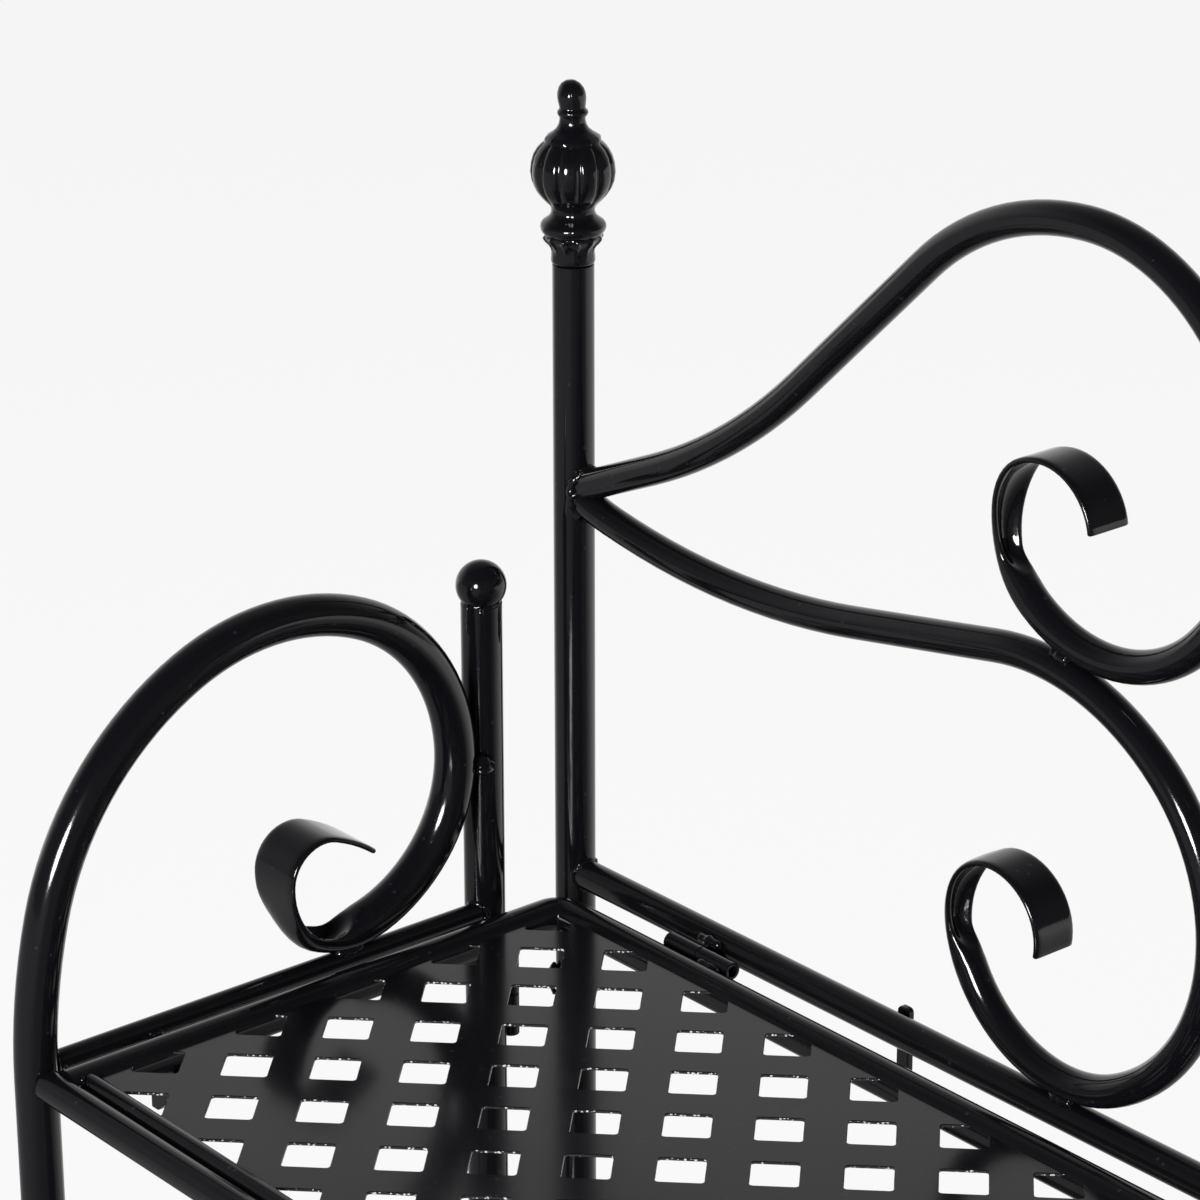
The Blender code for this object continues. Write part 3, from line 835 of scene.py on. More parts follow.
def coat_group():
    """Node group: orange peel, drawn lines and specks of a sprayed coat; on the cut edges the specks are painted
    glints.
    """
    group = bpy.data.node_groups.get("coat surface")
    if group:
        return group
    group = bpy.data.node_groups.new("coat surface", "ShaderNodeTree")
    sockets = (
        ("INPUT", "NodeSocketVector", ("Place", "Along")),
        ("INPUT", "NodeSocketFloat", ("Peel", "Lines", "Roughness", *SPECK_INPUTS)),
        ("OUTPUT", "NodeSocketFloat", ("Roughness", "Height", "Specks And Glints")),
    )
    for direction, kind, names in sockets:
        for name in names:
            group.interface.new_socket(name=name, in_out=direction, socket_type=kind)
    given = group.nodes.new("NodeGroupInput").outputs
    drawn = add_node(group, "ShaderNodeMapping", {"Vector": given["Along"], "Scale": LINE_STRETCH})
    lines = clouds(group, drawn.outputs["Vector"], *LINE_NOISE)
    peel = clouds(group, given["Place"], *PEEL_NOISE)
    waves = clouds(group, given["Place"], *WAVE_NOISE)
    cells = add_node(group, "ShaderNodeTexVoronoi", {"Vector": given["Place"], "Scale": given["Speck Scale"]}).outputs
    pick = add_node(group, "ShaderNodeSeparateColor", {"Color": cells["Color"]})
    chosen = combined(group, "LESS_THAN", pick.outputs[0], given["Speck Share"])
    near = combined(group, "LESS_THAN", cells["Distance"], given["Speck Size"])
    specks = combined(group, "MULTIPLY", chosen, near)
    lined = combined(group, "MULTIPLY", lines, given["Lines"])
    height = combined(group, "MULTIPLY", peel, given["Peel"])
    for layer, depth in ((lined, LINE_DEPTH), (waves, WAVE_DEPTH), (specks, SPECK_DEPTH)):
        height = combined(group, "ADD", height, combined(group, "MULTIPLY", layer, depth))
    worn = combined(group, "MULTIPLY", combined(group, "ADD", waves, lined), WEAR)
    rough = combined(group, "ADD", given["Roughness"], combined(group, "SUBTRACT", worn, WEAR))
    add_node(group, "NodeGroupOutput", {"Roughness": rough, "Height": height, "Specks And Glints": specks})
    return group


def coat_material(name, colour, roughness, peel, depth, lines=0.0, specks=SPARSE_SPECKS, speck_shade=SPECK_SHADE):
    """A procedural coat: its own colour and gloss, orange peel of this depth, drawn lines and specks."""
    made = bpy.data.materials.get(name)
    if made:
        return made
    made = bpy.data.materials.new(name)
    made.use_nodes = True
    tree = made.node_tree
    place = add_node(tree, "ShaderNodeTexCoord").outputs
    inputs = {"Place": place["Object"], "Along": place["UV"], "Peel": peel, "Lines": lines, "Roughness": roughness}
    inputs.update(zip(SPECK_INPUTS, specks))
    surface = add_node(tree, "ShaderNodeGroup", inputs, node_tree=coat_group()).outputs
    # The specks lift the colour; on the cut edges they are painted glints
    speck = (min(1, SPECK_BRIGHTNESS * part + speck_shade) for part in colour)
    shades = {"Factor": surface["Specks And Glints"], "A": (*colour, 1), "B": (*speck, 1)}
    tint = add_node(tree, "ShaderNodeMix", shades, data_type="RGBA")
    bump = add_node(tree, "ShaderNodeBump", {"Height": surface["Height"], "Strength": 1.0, "Distance": depth})
    shader = tree.nodes["Principled BSDF"].inputs
    tree.links.new(tint.outputs["Result"], shader["Base Color"])
    tree.links.new(surface["Roughness"], shader["Roughness"])
    tree.links.new(bump.outputs["Normal"], shader["Normal"])
    shader["Specular IOR Level"].default_value = finish().coat_gloss
    shader["Metallic"].default_value = 0.0
    return made


def tube_coat():
    look = finish()
    return coat_material("black tube coat", look.coat_colour, look.coat_roughness, *TUBE_PEEL, lines=1.0)


def sheet_coat():
    look = finish()
    return coat_material("black sheet coat", look.coat_colour, look.sheet_roughness, *SHEET_PEEL)


def cut_coat_with_painted_light():
    """The thin, grainy coat on the punched edges, lighter than the sheet's coat as a painted sheen, with bright burr
    specks that are painted glints.
    """
    look = finish()
    colour = [CUT_EDGE_PAINTED_SHEEN + part for part in look.coat_colour]
    painted_glints = {"specks": BURR_PAINTED_GLINTS, "speck_shade": BURR_PAINTED_GLINT_LIFT}
    return coat_material("black cut edge coat with painted light", colour, look.sheet_roughness, *CUT_PEEL, **painted_glints)


def cast_coat():
    look = finish()
    return coat_material("black cast coat", look.coat_colour, look.coat_roughness, *CAST_PEEL)


def weld_coat():
    look = finish()
    return coat_material("black weld coat", look.coat_colour, look.coat_roughness, *WELD_PEEL)


def cap_plastic():
    look = finish()
    return coat_material("black foot plastic", look.foot_colour, look.foot_roughness, *FOOT_PEEL)


# Operators, one for each kind of piece


class STAND_OT_posts(bpy.types.Operator):
    """Models the back posts and the ball posts"""

    bl_idname = "stand.posts"
    bl_label = "Posts"

    def execute(self, context):
        for side in SIDES:
            for kind, body in (("back_post", "back_frame"), ("ball_post", f"side_panel_{side}")):
                node = f"{kind}_{side}"
                low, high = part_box(node)
                axis = middle(node)
                ends = (axis.x, axis.y, low.z), (axis.x, axis.y, high.z)
                piece = tube(f"{kind}_tube_{side}", *ends, sizes().post_diameter, open_end=True)
                dress(piece, body, "tube", tube_coat(), node)
        return {"FINISHED"}


class STAND_OT_finials(bpy.types.Operator):
    """Turns the urn finials with their fluted bulbs and leaf collars"""

    bl_idname = "stand.finials"
    bl_label = "Finials"

    # Profile in millimetres: radius, height, depth of the flutes, depth of the leaves
    profile = (
        (7.0, -0.3, 0, 0),
        (8.2, 0.0, 0, 0),
        (8.45, 0.8, 0, 0),
        (8.35, 2.4, 0, 0),
        (8.3, 4.2, 0, 0.1),
        (8.6, 5.6, 0, 0.5),
        (9.4, 6.8, 0, 1.0),
        (10.6, 8.0, 0, 1.3),
        (11.4, 9.1, 0, 1.2),
        (11.6, 9.9, 0, 0.8),
        (11.0, 10.5, 0, 0.2),
        (10.7, 10.9, 0, 0),
        (11.3, 11.4, 0, 0),
        (12.1, 12.3, 0, 0),
        (12.5, 13.6, 0, 0),
        (12.3, 15.0, 0, 0),
        (11.3, 16.2, 0, 0),
        (9.9, 17.1, 0, 0),
        (8.9, 18.2, 0, 0),
        (8.4, 19.4, 0, 0),
        (8.3, 20.6, 0, 0),
        (8.7, 21.8, 0, 0),
        (9.4, 22.7, 0, 0.1),
        (10.8, 24.0, 0.3, 0),
        (12.8, 26.2, 0.8, 0),
        (14.5, 28.8, 1.1, 0),
        (15.6, 31.8, 1.25, 0),
        (16.0, 35.2, 1.3, 0),
        (15.7, 38.6, 1.25, 0),
        (14.8, 41.6, 1.1, 0),
        (13.4, 44.0, 0.9, 0),
        (11.8, 45.6, 0.6, 0),
        (10.9, 46.3, 0.3, 0),
        (10.6, 46.9, 0, 0),
        (10.7, 47.6, 0, 0.3),
        (10.3, 48.4, 0, 0.3),
        (9.0, 49.3, 0, 0.1),
        (7.4, 50.3, 0, 0),
        (6.0, 51.6, 0, 0),
        (5.2, 53.2, 0, 0),
        (4.9, 54.8, 0, 0),
        (5.0, 56.0, 0, 0),
        (5.6, 56.7, 0, 0),
        (5.9, 57.5, 0, 0),
        (5.7, 58.3, 0, 0),
        (5.1, 58.9, 0, 0),
        (4.95, 59.6, 0, 0),
        (5.3, 61.4, 0, 0),
        (5.45, 63.2, 0, 0),
        (5.3, 65.0, 0, 0),
        (4.7, 66.9, 0, 0),
        (3.5, 68.5, 0, 0),
        (1.8, 69.5, 0, 0),
    )
    top = 69.8
    mould_seam = math.radians(-38)
    seam_height, seam_width = 0.22, 0.35
    flute_sharpness = 2.2
    leaf_skew = 0.3
    lumps, lump_depth = 210, 0.16
    # The cast is lumpier, and leans a little, at its tip
    tip_start, tip_length, tip_lump_depth = 52, 10, 0.2
    lean, lean_start, lean_length = 0.0005, 56, 14

    def execute(self, context):
        low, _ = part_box("urn_finial_left")
        axis = middle("urn_finial_left")
        base = Vector((axis.x, axis.y, low.z))
        previous = self.profile[0]
        round_base = {"vertices": 144, "radius": previous[0] / 1000, "fill_type": "NGON"}
        piece = begin(bpy.ops.mesh.primitive_circle_add, **round_base, location=base)
        for row in self.profile[1:]:
            step = Vector((0, 0, (row[1] - previous[1]) / 1000))
            bpy.ops.mesh.extrude_region_move(TRANSFORM_OT_translate={"value": step})
            share = row[0] / previous[0]
            bpy.ops.transform.resize(value=(share, share, 1), center_override=base)
            previous = row
        bpy.ops.mesh.poke(offset=(self.top - previous[1]) / 1000, use_relative_offset=False)
        leave(piece, "finial_left", 80)
        self.carve(piece, base)
        dress(piece, "back_frame", "casting", cast_coat(), "urn_finial_left")
        move = (-2 * axis.x, 0, 0)
        other = copied(piece, "finial_right", move)
        dress(other, "back_frame", "casting", cast_coat(), "urn_finial_right")
        return {"FINISHED"}

    def carve(self, piece, base):
        """Presses the flutes, the leaves and the mould seam into the turned body."""
        lobes = sizes().lobes
        rows = sorted(self.profile, key=lambda row: row[1])
        for vertex in piece.data.vertices:
            off = vertex.co - base
            rise = 1000 * off.z
            reach = math.hypot(off.x, off.y)
            if reach < 1e-5:
                continue
            angle = math.atan2(off.y, off.x)
            row = min(rows, key=lambda each: abs(each[1] - (rise + self.profile[0][1])))
            flute = row[2] * (1 - abs(math.sin(lobes * angle / 2))) ** self.flute_sharpness
            leaf = row[3] * abs(math.sin(lobes * angle / 2 + self.leaf_skew * math.sin(lobes * angle)))
            turn = math.remainder(angle - self.mould_seam, math.pi)
            seam = self.seam_height * math.exp(-((turn * reach * 1000 / self.seam_width) ** 2))
            depth = self.lump_depth + self.tip_lump_depth * smooth((rise - self.tip_start) / self.tip_length)
            lump = depth * noise.noise(vertex.co * self.lumps)
            share = (reach * 1000 - flute - leaf + seam + lump) / (reach * 1000)
            lean = self.lean * smooth((rise - self.lean_start) / self.lean_length)
            vertex.co = base + Vector((off.x * share - lean, off.y * share - lean, off.z))


class STAND_OT_balls(bpy.types.Operator):
    """Models the balls on the mouths of the ball posts"""

    bl_idname = "stand.balls"
    bl_label = "Balls"

    def execute(self, context):
        low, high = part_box("ball_left")
        axis = middle("ball_left")
        radius = BALL_SHARE * (high.x - low.x) / 2
        seat = BALL_SEAT_SHARE * sizes().post_diameter
        centre = Vector((axis.x, axis.y, low.z + math.sqrt(radius**2 - seat**2)))
        facets = {"segments": 64, "ring_count": 40}
        piece = begin(bpy.ops.mesh.primitive_uv_sphere_add, **facets, radius=radius, location=centre)
        bpy.ops.mesh.select_all(action="SELECT")
        cut = Vector((centre.x, centre.y, low.z))
        bpy.ops.mesh.bisect(plane_co=cut, plane_no=(0, 0, 1), use_fill=True, clear_inner=True)
        choose(piece, "FACE", lambda face: len(face.verts) > 12)
        bpy.ops.mesh.bevel(offset=BALL_ROUNDING, segments=2, affect="EDGES")
        leave(piece, "post_ball_left", 60)
        dress(piece, "side_panel_left", "tube", cast_coat(), "ball_left")
        other = copied(piece, "post_ball_right", (-2 * axis.x, 0, 0))
        dress(other, "side_panel_right", "tube", cast_coat(), "ball_right")
        return {"FINISHED"}


class STAND_OT_feet(bpy.types.Operator):
    """Models the moulded caps under the posts and legs"""

    bl_idname = "stand.feet"
    bl_label = "Feet"

    play, sole = 0.0002, 0.003
    tread_rounding, lip_rounding = 0.0014, 0.0009
    groove = (0.0050, 0.0058, 0.0066)
    groove_depth = 0.0005

    def execute(self, context):
        low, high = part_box("back_foot_left")
        axis = middle("back_foot_left")
        radius = (high.x - low.x) / 2
        tall = high.z - low.z
        piece = begin(bpy.ops.mesh.primitive_cylinder_add, vertices=64, radius=radius, depth=tall, location=axis)
        # The cap is open upwards, hugs the tube and has a rounded tread with a groove above it
        choose(piece, "FACE", lambda face: face.normal.z > 0.9)
        bpy.ops.mesh.inset(thickness=radius - sizes().post_diameter / 2 - self.play)
        bpy.ops.mesh.extrude_region_move(TRANSFORM_OT_translate={"value": (0, 0, self.sole - tall)})
        choose(piece, "EDGE", lambda edge: all(abs(v.co.z - low.z) < 1e-6 for v in edge.verts))
        bpy.ops.mesh.bevel(offset=self.tread_rounding, segments=4, affect="EDGES")
        rim = radius - 1e-5

        def on_lip(edge):
            return all(abs(v.co.z - high.z) < 1e-6 and (v.co - axis).xy.length > rim for v in edge.verts)

        choose(piece, "EDGE", on_lip)
        bpy.ops.mesh.bevel(offset=self.lip_rounding, segments=3, affect="EDGES")
        for rise in self.groove:
            bpy.ops.mesh.select_all(action="SELECT")
            bpy.ops.mesh.bisect(plane_co=(axis.x, axis.y, low.z + rise), plane_no=(0, 0, 1))

        def in_groove(vert):
            return abs(vert.co.z - low.z - self.groove[1]) < 1e-5 and (vert.co - axis).xy.length > rim

        choose(piece, "VERT", in_groove)
        share = (radius - self.groove_depth) / radius
        bpy.ops.transform.resize(value=(share, share, 1), center_override=axis)
        leave(piece, "foot_cap_back_left", 40)
        dress(piece, "back_frame", "foot_cap", cap_plastic(), "back_foot_left")
        for kind in ("back", "leg", "ball_post"):
            for side in SIDES:
                node = f"{kind}_foot_{side}"
                if node == "back_foot_left":
                    continue
                other = copied(piece, f"foot_cap_{kind}_{side}", middle(node) - axis)
                body = "back_frame" if kind == "back" else f"side_panel_{side}"
                dress(other, body, "foot_cap", cap_plastic(), node)
        return {"FINISHED"}


class STAND_OT_back_rails(bpy.types.Operator):
    """Models the rails between the back posts"""

    bl_idname = "stand.back_rails"
    bl_label = "Back Rails"

    def execute(self, context):
        reach = middle("back_post_right").x - RAIL_END_SHARE * sizes().post_diameter
        for tier in TIERS:
            axis = middle(f"back_rail_{tier}")
            ends = (-reach, axis.y, axis.z), (reach, axis.y, axis.z)
            piece = tube(f"rail_back_{tier}", *ends, sizes().tube_diameter)
            dress(piece, "back_frame", "tube", tube_coat(), f"back_rail_{tier}")
        return {"FINISHED"}


class STAND_OT_scrolls(bpy.types.Operator):
    """Sweeps the arches and the lower scrolls of the back"""

    bl_idname = "stand.scrolls"
    bl_label = "Back Scrolls"

    def execute(self, context):
        depth = SCROLL_BITE_SHARE * sizes().post_diameter
        for side, sign in SIDES.items():
            for kind, steps in zip(("arch_scroll", "lower_scroll"), back_paths()):
                piece = sweep(
                    f"{kind}_bent_{side}",
                    into_post(steps, depth),
                    sizes().tube_diameter,
                    sizes().scroll_strip,
                    SCROLL_FLAT_LENGTH,
                    SCROLL_SETTLE,
                    place_back(sign),
                )
                dress(piece, "back_frame", "tube", tube_coat(), f"{kind}_{side}")
        return {"FINISHED"}


class STAND_OT_legs(bpy.types.Operator):
    """Sweeps the front legs with their scrolled arms"""

    bl_idname = "stand.legs"
    bl_label = "Scrolled Legs"

    def execute(self, context):
        for side, sign in SIDES.items():
            piece = sweep(
                f"leg_bent_{side}",
                arm_path(),
                sizes().post_diameter,
                sizes().arm_strip,
                ARM_FLAT_LENGTH,
                ARM_SETTLE,
                place_arm(sign),
            )
            dress(piece, f"side_panel_{side}", "tube", tube_coat(), f"scroll_leg_{side}")
        return {"FINISHED"}


class STAND_OT_side_rails(bpy.types.Operator):
    """Models the side rails with the plates that the shelves rest on"""

    bl_idname = "stand.side_rails"
    bl_label = "Side Rails"

    bite = 0.002

    def execute(self, context):
        for side, sign in SIDES.items():
            x = middle(f"leg_foot_{side}").x
            for tier in TIERS:
                node = f"side_rail_{tier}_{side}"
                low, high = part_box(node)
                thick = sizes().side_rail_diameter
                level = high.z - thick / 2
                ends = (x, low.y - self.bite, level), (x, high.y + self.bite, level)
                rail = tube(f"rail_side_{tier}_{side}", *ends, thick)
                plate = self.plate(sign, tier, low, high, x, level)
                piece = join([rail, plate], f"rail_side_{tier}_{side}")
                dress(piece, f"side_panel_{side}", "tube", tube_coat(), node)
        return {"FINISHED"}

    def plate(self, sign, tier, low, high, x, level):
        """A bracket plate with a foot along the shelf frame and a sloped lower edge."""
        inner = low.x if sign > 0 else high.x
        near, far = x - sign * PLATE_NEAR, x - sign * PLATE_FAR
        foot = shelf_lines(tier)[0][2] - FRAME_TUBE / 2 - PLATE_GAP
        y = middle("back_post_left").y - PLATE_SETBACK - PLATE_THICKNESS / 2
        upper = ((near, level), (far, level), (far, foot), (inner, foot))
        lower = ((inner, foot - PLATE_FOOT), (far, low.z), (near, low.z))
        bm = bmesh.new()
        face = bm.faces.new([bm.verts.new((u, y, v)) for u, v in (*upper, *lower)])
        grown = bmesh.ops.extrude_face_region(bm, geom=[face])
        moved = [item for item in grown["geom"] if isinstance(item, bmesh.types.BMVert)]
        bmesh.ops.translate(bm, verts=moved, vec=(0, PLATE_THICKNESS, 0))
        piece = from_mesh("plate", bm)
        soften(piece, PLATE_ROUNDING, 30, 3)
        return piece


def shelf_lines(tier):
    """Axes of a shelf: frame (x, back y, z), front bar (y, z) and the level of the sheet's top."""
    _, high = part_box(f"shelf_frame_{tier}")
    radius = sizes().tube_diameter / 2
    rail = middle(f"front_rail_{tier}")
    x, back = high.x - radius + FRAME_OUT, high.y - radius + FRAME_BACK
    bar = (rail.y + FRONT_BAR_SETBACK, rail.z + FRONT_BAR_RISE)
    return (x, back, high.z - radius - FRAME_DROP), bar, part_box(f"shelf_sheet_{tier}")[1].z


def sheet_box(tier):
    """Corners of a sheet that ends on the tubes of its frame and on the front bar."""
    (x, back, level), (bar_y, bar_z), top = shelf_lines(tier)
    radius, thin = FRAME_TUBE / 2, sizes().side_rail_diameter / 2
    side = math.sqrt(radius**2 - (top - level) ** 2)
    front = bar_y + math.sqrt(thin**2 - (top - bar_z) ** 2)
    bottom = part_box(f"shelf_sheet_{tier}")[0].z
    return Vector((side - x, front, bottom)), Vector((x - side, back - side, top))


def hole_grid():
    """The y of the row of holes that starts the pattern, and the step between rows and columns."""
    frame_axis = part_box("shelf_frame_top")[1].y - sizes().tube_diameter / 2
    return frame_axis - HOLE_ROW_SETBACK, sizes().hole_pitch / math.sqrt(2)


class STAND_OT_shelves(bpy.types.Operator):
    """Models the punched sheets, their frames, the front bars and the front rails"""

    bl_idname = "stand.shelves"
    bl_label = "Shelves"

    def execute(self, context):
        sheet = self.sheet("top")
        dress(sheet, "shelf_top", "sheet", sheet_coat(), "shelf_sheet_top")
        self.show_cuts(sheet)
        bent = self.frame_rod("top")
        dress(bent, "shelf_top", "tube", tube_coat(), "shelf_frame_top")
        for tier in TIERS:
            body = f"shelf_{tier}"
            rise = middle(f"shelf_sheet_{tier}") - middle("shelf_sheet_top")
            if tier != "top":
                other = copied(sheet, f"sheet_punched_{tier}", rise)
                dress(other, body, "sheet", sheet_coat(), f"shelf_sheet_{tier}")
                self.show_cuts(other)
                other = copied(bent, f"frame_bent_{tier}", rise)
                dress(other, body, "tube", tube_coat(), f"shelf_frame_{tier}")
            low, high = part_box(f"front_rail_{tier}")
            axis = middle(f"front_rail_{tier}")
            ends = (low.x, axis.y, axis.z), (high.x, axis.y, axis.z)
            rail = tube(f"rail_front_{tier}", *ends, sizes().tube_diameter)
            dress(rail, body, "tube", tube_coat(), f"front_rail_{tier}")
            (x, _, _), (y, z), _ = shelf_lines(tier)
            bar = tube(f"bar_front_{tier}", (-x, y, z), (x, y, z), sizes().side_rail_diameter)
            dress(bar, body, "tube", tube_coat())
        return {"FINISHED"}

    def sheet(self, tier):
        """A slab with rounded squares punched on the diagonal."""
        low, high = sheet_box(tier)
        centre = (low + high) / 2
        slab = begin(bpy.ops.mesh.primitive_cube_add, size=1, location=centre, scale=high - low)
        leave(slab, f"sheet_punched_{tier}")
        tool = begin(
            bpy.ops.mesh.primitive_cylinder_add,
            vertices=4,
            radius=sizes().hole_size / math.sqrt(2),
            depth=4 * (high.z - low.z),
            location=(0, 0, centre.z),
        )
        choose(tool, "EDGE", lambda edge: abs(edge.verts[0].co.z - edge.verts[1].co.z) > 1e-4)
        bpy.ops.mesh.bevel(offset=sizes().hole_corner, segments=3, affect="EDGES")
        leave(tool, "punch")
        punches = [copied(tool, "punch", (x, y, 0)) for x, y in self.centres(low, high)]
        bpy.data.objects.remove(tool)
        punch_out(slab, join(punches, "punches"))
        soften(slab, SHEET_ROUNDING, 40, 1)
        activate(slab)
        bpy.ops.object.shade_smooth_by_angle(angle=math.radians(25))
        return slab

    def show_cuts(self, sheet):
        """Puts the grainy coat, with its painted sheen and painted glints, on the walls of the holes."""
        sheet.data.materials.append(cut_coat_with_painted_light())
        for polygon in sheet.data.polygons:
            polygon.material_index = int(abs(polygon.normal.z) < 0.3)

    def centres(self, low, high):
        """Centres of the punched squares that reach into the sheet."""
        first, step = hole_grid()
        corner = sizes().hole_size / math.sqrt(2)
        margin = 2 * (high.z - low.z)
        columns = math.ceil(high.x / step)
        for row in range(-HOLE_ROWS, HOLE_ROWS + 1):
            y = first - row * step
            for column in range(-columns, columns + 1):
                x = column * step
                inside = abs(x) - corner < high.x - margin
                inside = inside and y - corner < high.y - margin and y + corner > low.y + margin
                if inside and (row + column) % 2:
                    yield x, y

    def frame_rod(self, tier):
        """A tube bent to a U with tight mitred corners that ends on the front rail."""
        start = middle(f"front_rail_{tier}").y + FRAME_END
        (x, back, level), _, _ = shelf_lines(tier)
        piece = begin(
            bpy.ops.mesh.primitive_circle_add,
            vertices=sizes().tube_sides,
            radius=FRAME_TUBE / 2,
            fill_type="NGON",
            location=(x, start, level),
            rotation=(math.pi / 2, 0, 0),
        )
        side, corner = back - start - FRAME_BEND, x - FRAME_BEND
        runs = (((0, side, 0), corner), ((-2 * corner, 0, 0), -corner), ((0, -side, 0), None))
        for run, pivot in runs:
            bpy.ops.mesh.extrude_region_move(TRANSFORM_OT_translate={"value": run})
            if pivot:
                pivot = (pivot, back - FRAME_BEND, level)
                bpy.ops.mesh.spin(steps=8, angle=-math.pi / 2, center=pivot, axis=(0, 0, 1))
        bpy.ops.mesh.select_all(action="SELECT")
        bpy.ops.mesh.remove_doubles(threshold=1e-6)
        bpy.ops.mesh.normals_make_consistent(inside=False)
        return leave(piece, f"frame_bent_{tier}", 40)


class STAND_OT_hinges(bpy.types.Operator):
    """Models the barrel hinges of the shelves and the side panels"""

    bl_idname = "stand.hinges"
    bl_label = "Hinges"

    gap, play, rounding = 0.0002, 0.0004, 0.0003
    pin_reach = 0.012
    barrel_sides, pin_sides = 36, 24

    def execute(self, context):
        for tier in TIERS:
            for side in SIDES:
                self.pair("shelf", tier, side, 0, f"shelf_{tier}")
        for level in LEVELS:
            for side in SIDES:
                self.pair("panel", level, side, 2, f"side_panel_{side}")
        return {"FINISHED"}

    def pair(self, kind, place, side, axis, body):
        """A plain barrel with its pin, and the hollow barrel that turns on it."""
        fixed, moving = f"{kind}_hinge_fixed_{place}_{side}", f"{kind}_hinge_moving_{place}_{side}"
        low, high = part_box(moving)
        outward = 1 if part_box(fixed)[0][axis] < low[axis] else -1
        along = Vector((0, 0, 0))
        along[axis] = outward
        seam = joint_place(body)
        seam[axis] = low[axis] if outward > 0 else high[axis]
        length = high[axis] - low[axis]
        before = seam - 2 * self.gap * along
        plain = self.barrel(f"barrel_plain_{kind}_{place}_{side}", before - along * length, before)
        ends = seam - along * length / 2, seam + along * self.pin_reach
        pin = tube("pin", *ends, sizes().pin_diameter, sides=self.pin_sides)
        plain = join([plain, pin], plain.name)
        dress(plain, "back_frame", "tube", tube_coat(), fixed)
        hollow = self.barrel(f"barrel_hollow_{kind}_{place}_{side}", seam, seam + along * length, hollow=True)
        dress(hollow, body, "tube", tube_coat(), moving)

    def barrel(self, name, start, end, hollow=False):
        axis = (end - start).normalized()
        piece = rod(start, end, sizes().barrel_diameter, self.barrel_sides)
        if hollow:
            wall = (sizes().barrel_diameter - sizes().pin_diameter) / 2 - self.play
            choose(piece, "FACE", lambda face: len(face.verts) > 4)
            bpy.ops.mesh.inset(thickness=wall, use_individual=True)
            bpy.ops.mesh.bridge_edge_loops()

        def on_rim(edge):
            low, high = sorted((vert.co - start).dot(axis) for vert in edge.verts)
            level = high - low < 1e-6 and min(abs(low), abs(low - (end - start).length)) < 1e-5
            return level and len(edge.link_faces) == 2 and edge.calc_face_angle(0) > 0.5

        choose(piece, "EDGE", on_rim)
        bpy.ops.mesh.bevel(offset=self.rounding, segments=2, affect="EDGES")
        return leave(piece, name, 20)


class STAND_OT_hooks(bpy.types.Operator):
    """Models the flat hooks that hang behind the top back rail"""

    bl_idname = "stand.hooks"
    bl_label = "Rail Hooks"

    def execute(self, context):
        rail = middle("back_rail_top")
        behind = rail.y + sizes().tube_diameter / 2 + HOOK_GAP
        for side in SIDES:
            node = f"rail_hook_{side}"
            low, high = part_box(node)
            bottom = Vector((low.x, behind, rail.z - HOOK_DROP))
            top = Vector((high.x, behind + HOOK_THICKNESS, rail.z + HOOK_RISE))
            piece = begin(bpy.ops.mesh.primitive_cube_add, size=1, location=(bottom + top) / 2, scale=top - bottom)
            choose(piece, "EDGE", lambda edge: abs(edge.verts[0].co.y - edge.verts[1].co.y) > 1e-4)
            bpy.ops.mesh.bevel(offset=HOOK_CORNER_SHARE * (high.x - low.x), segments=5, affect="EDGES")
            leave(piece, f"hook_flat_{side}")
            soften(piece, HOOK_ROUNDING, 40, 2)
            leave(piece, f"hook_flat_{side}")
            dress(piece, "back_frame", "tube", tube_coat(), node)
        return {"FINISHED"}


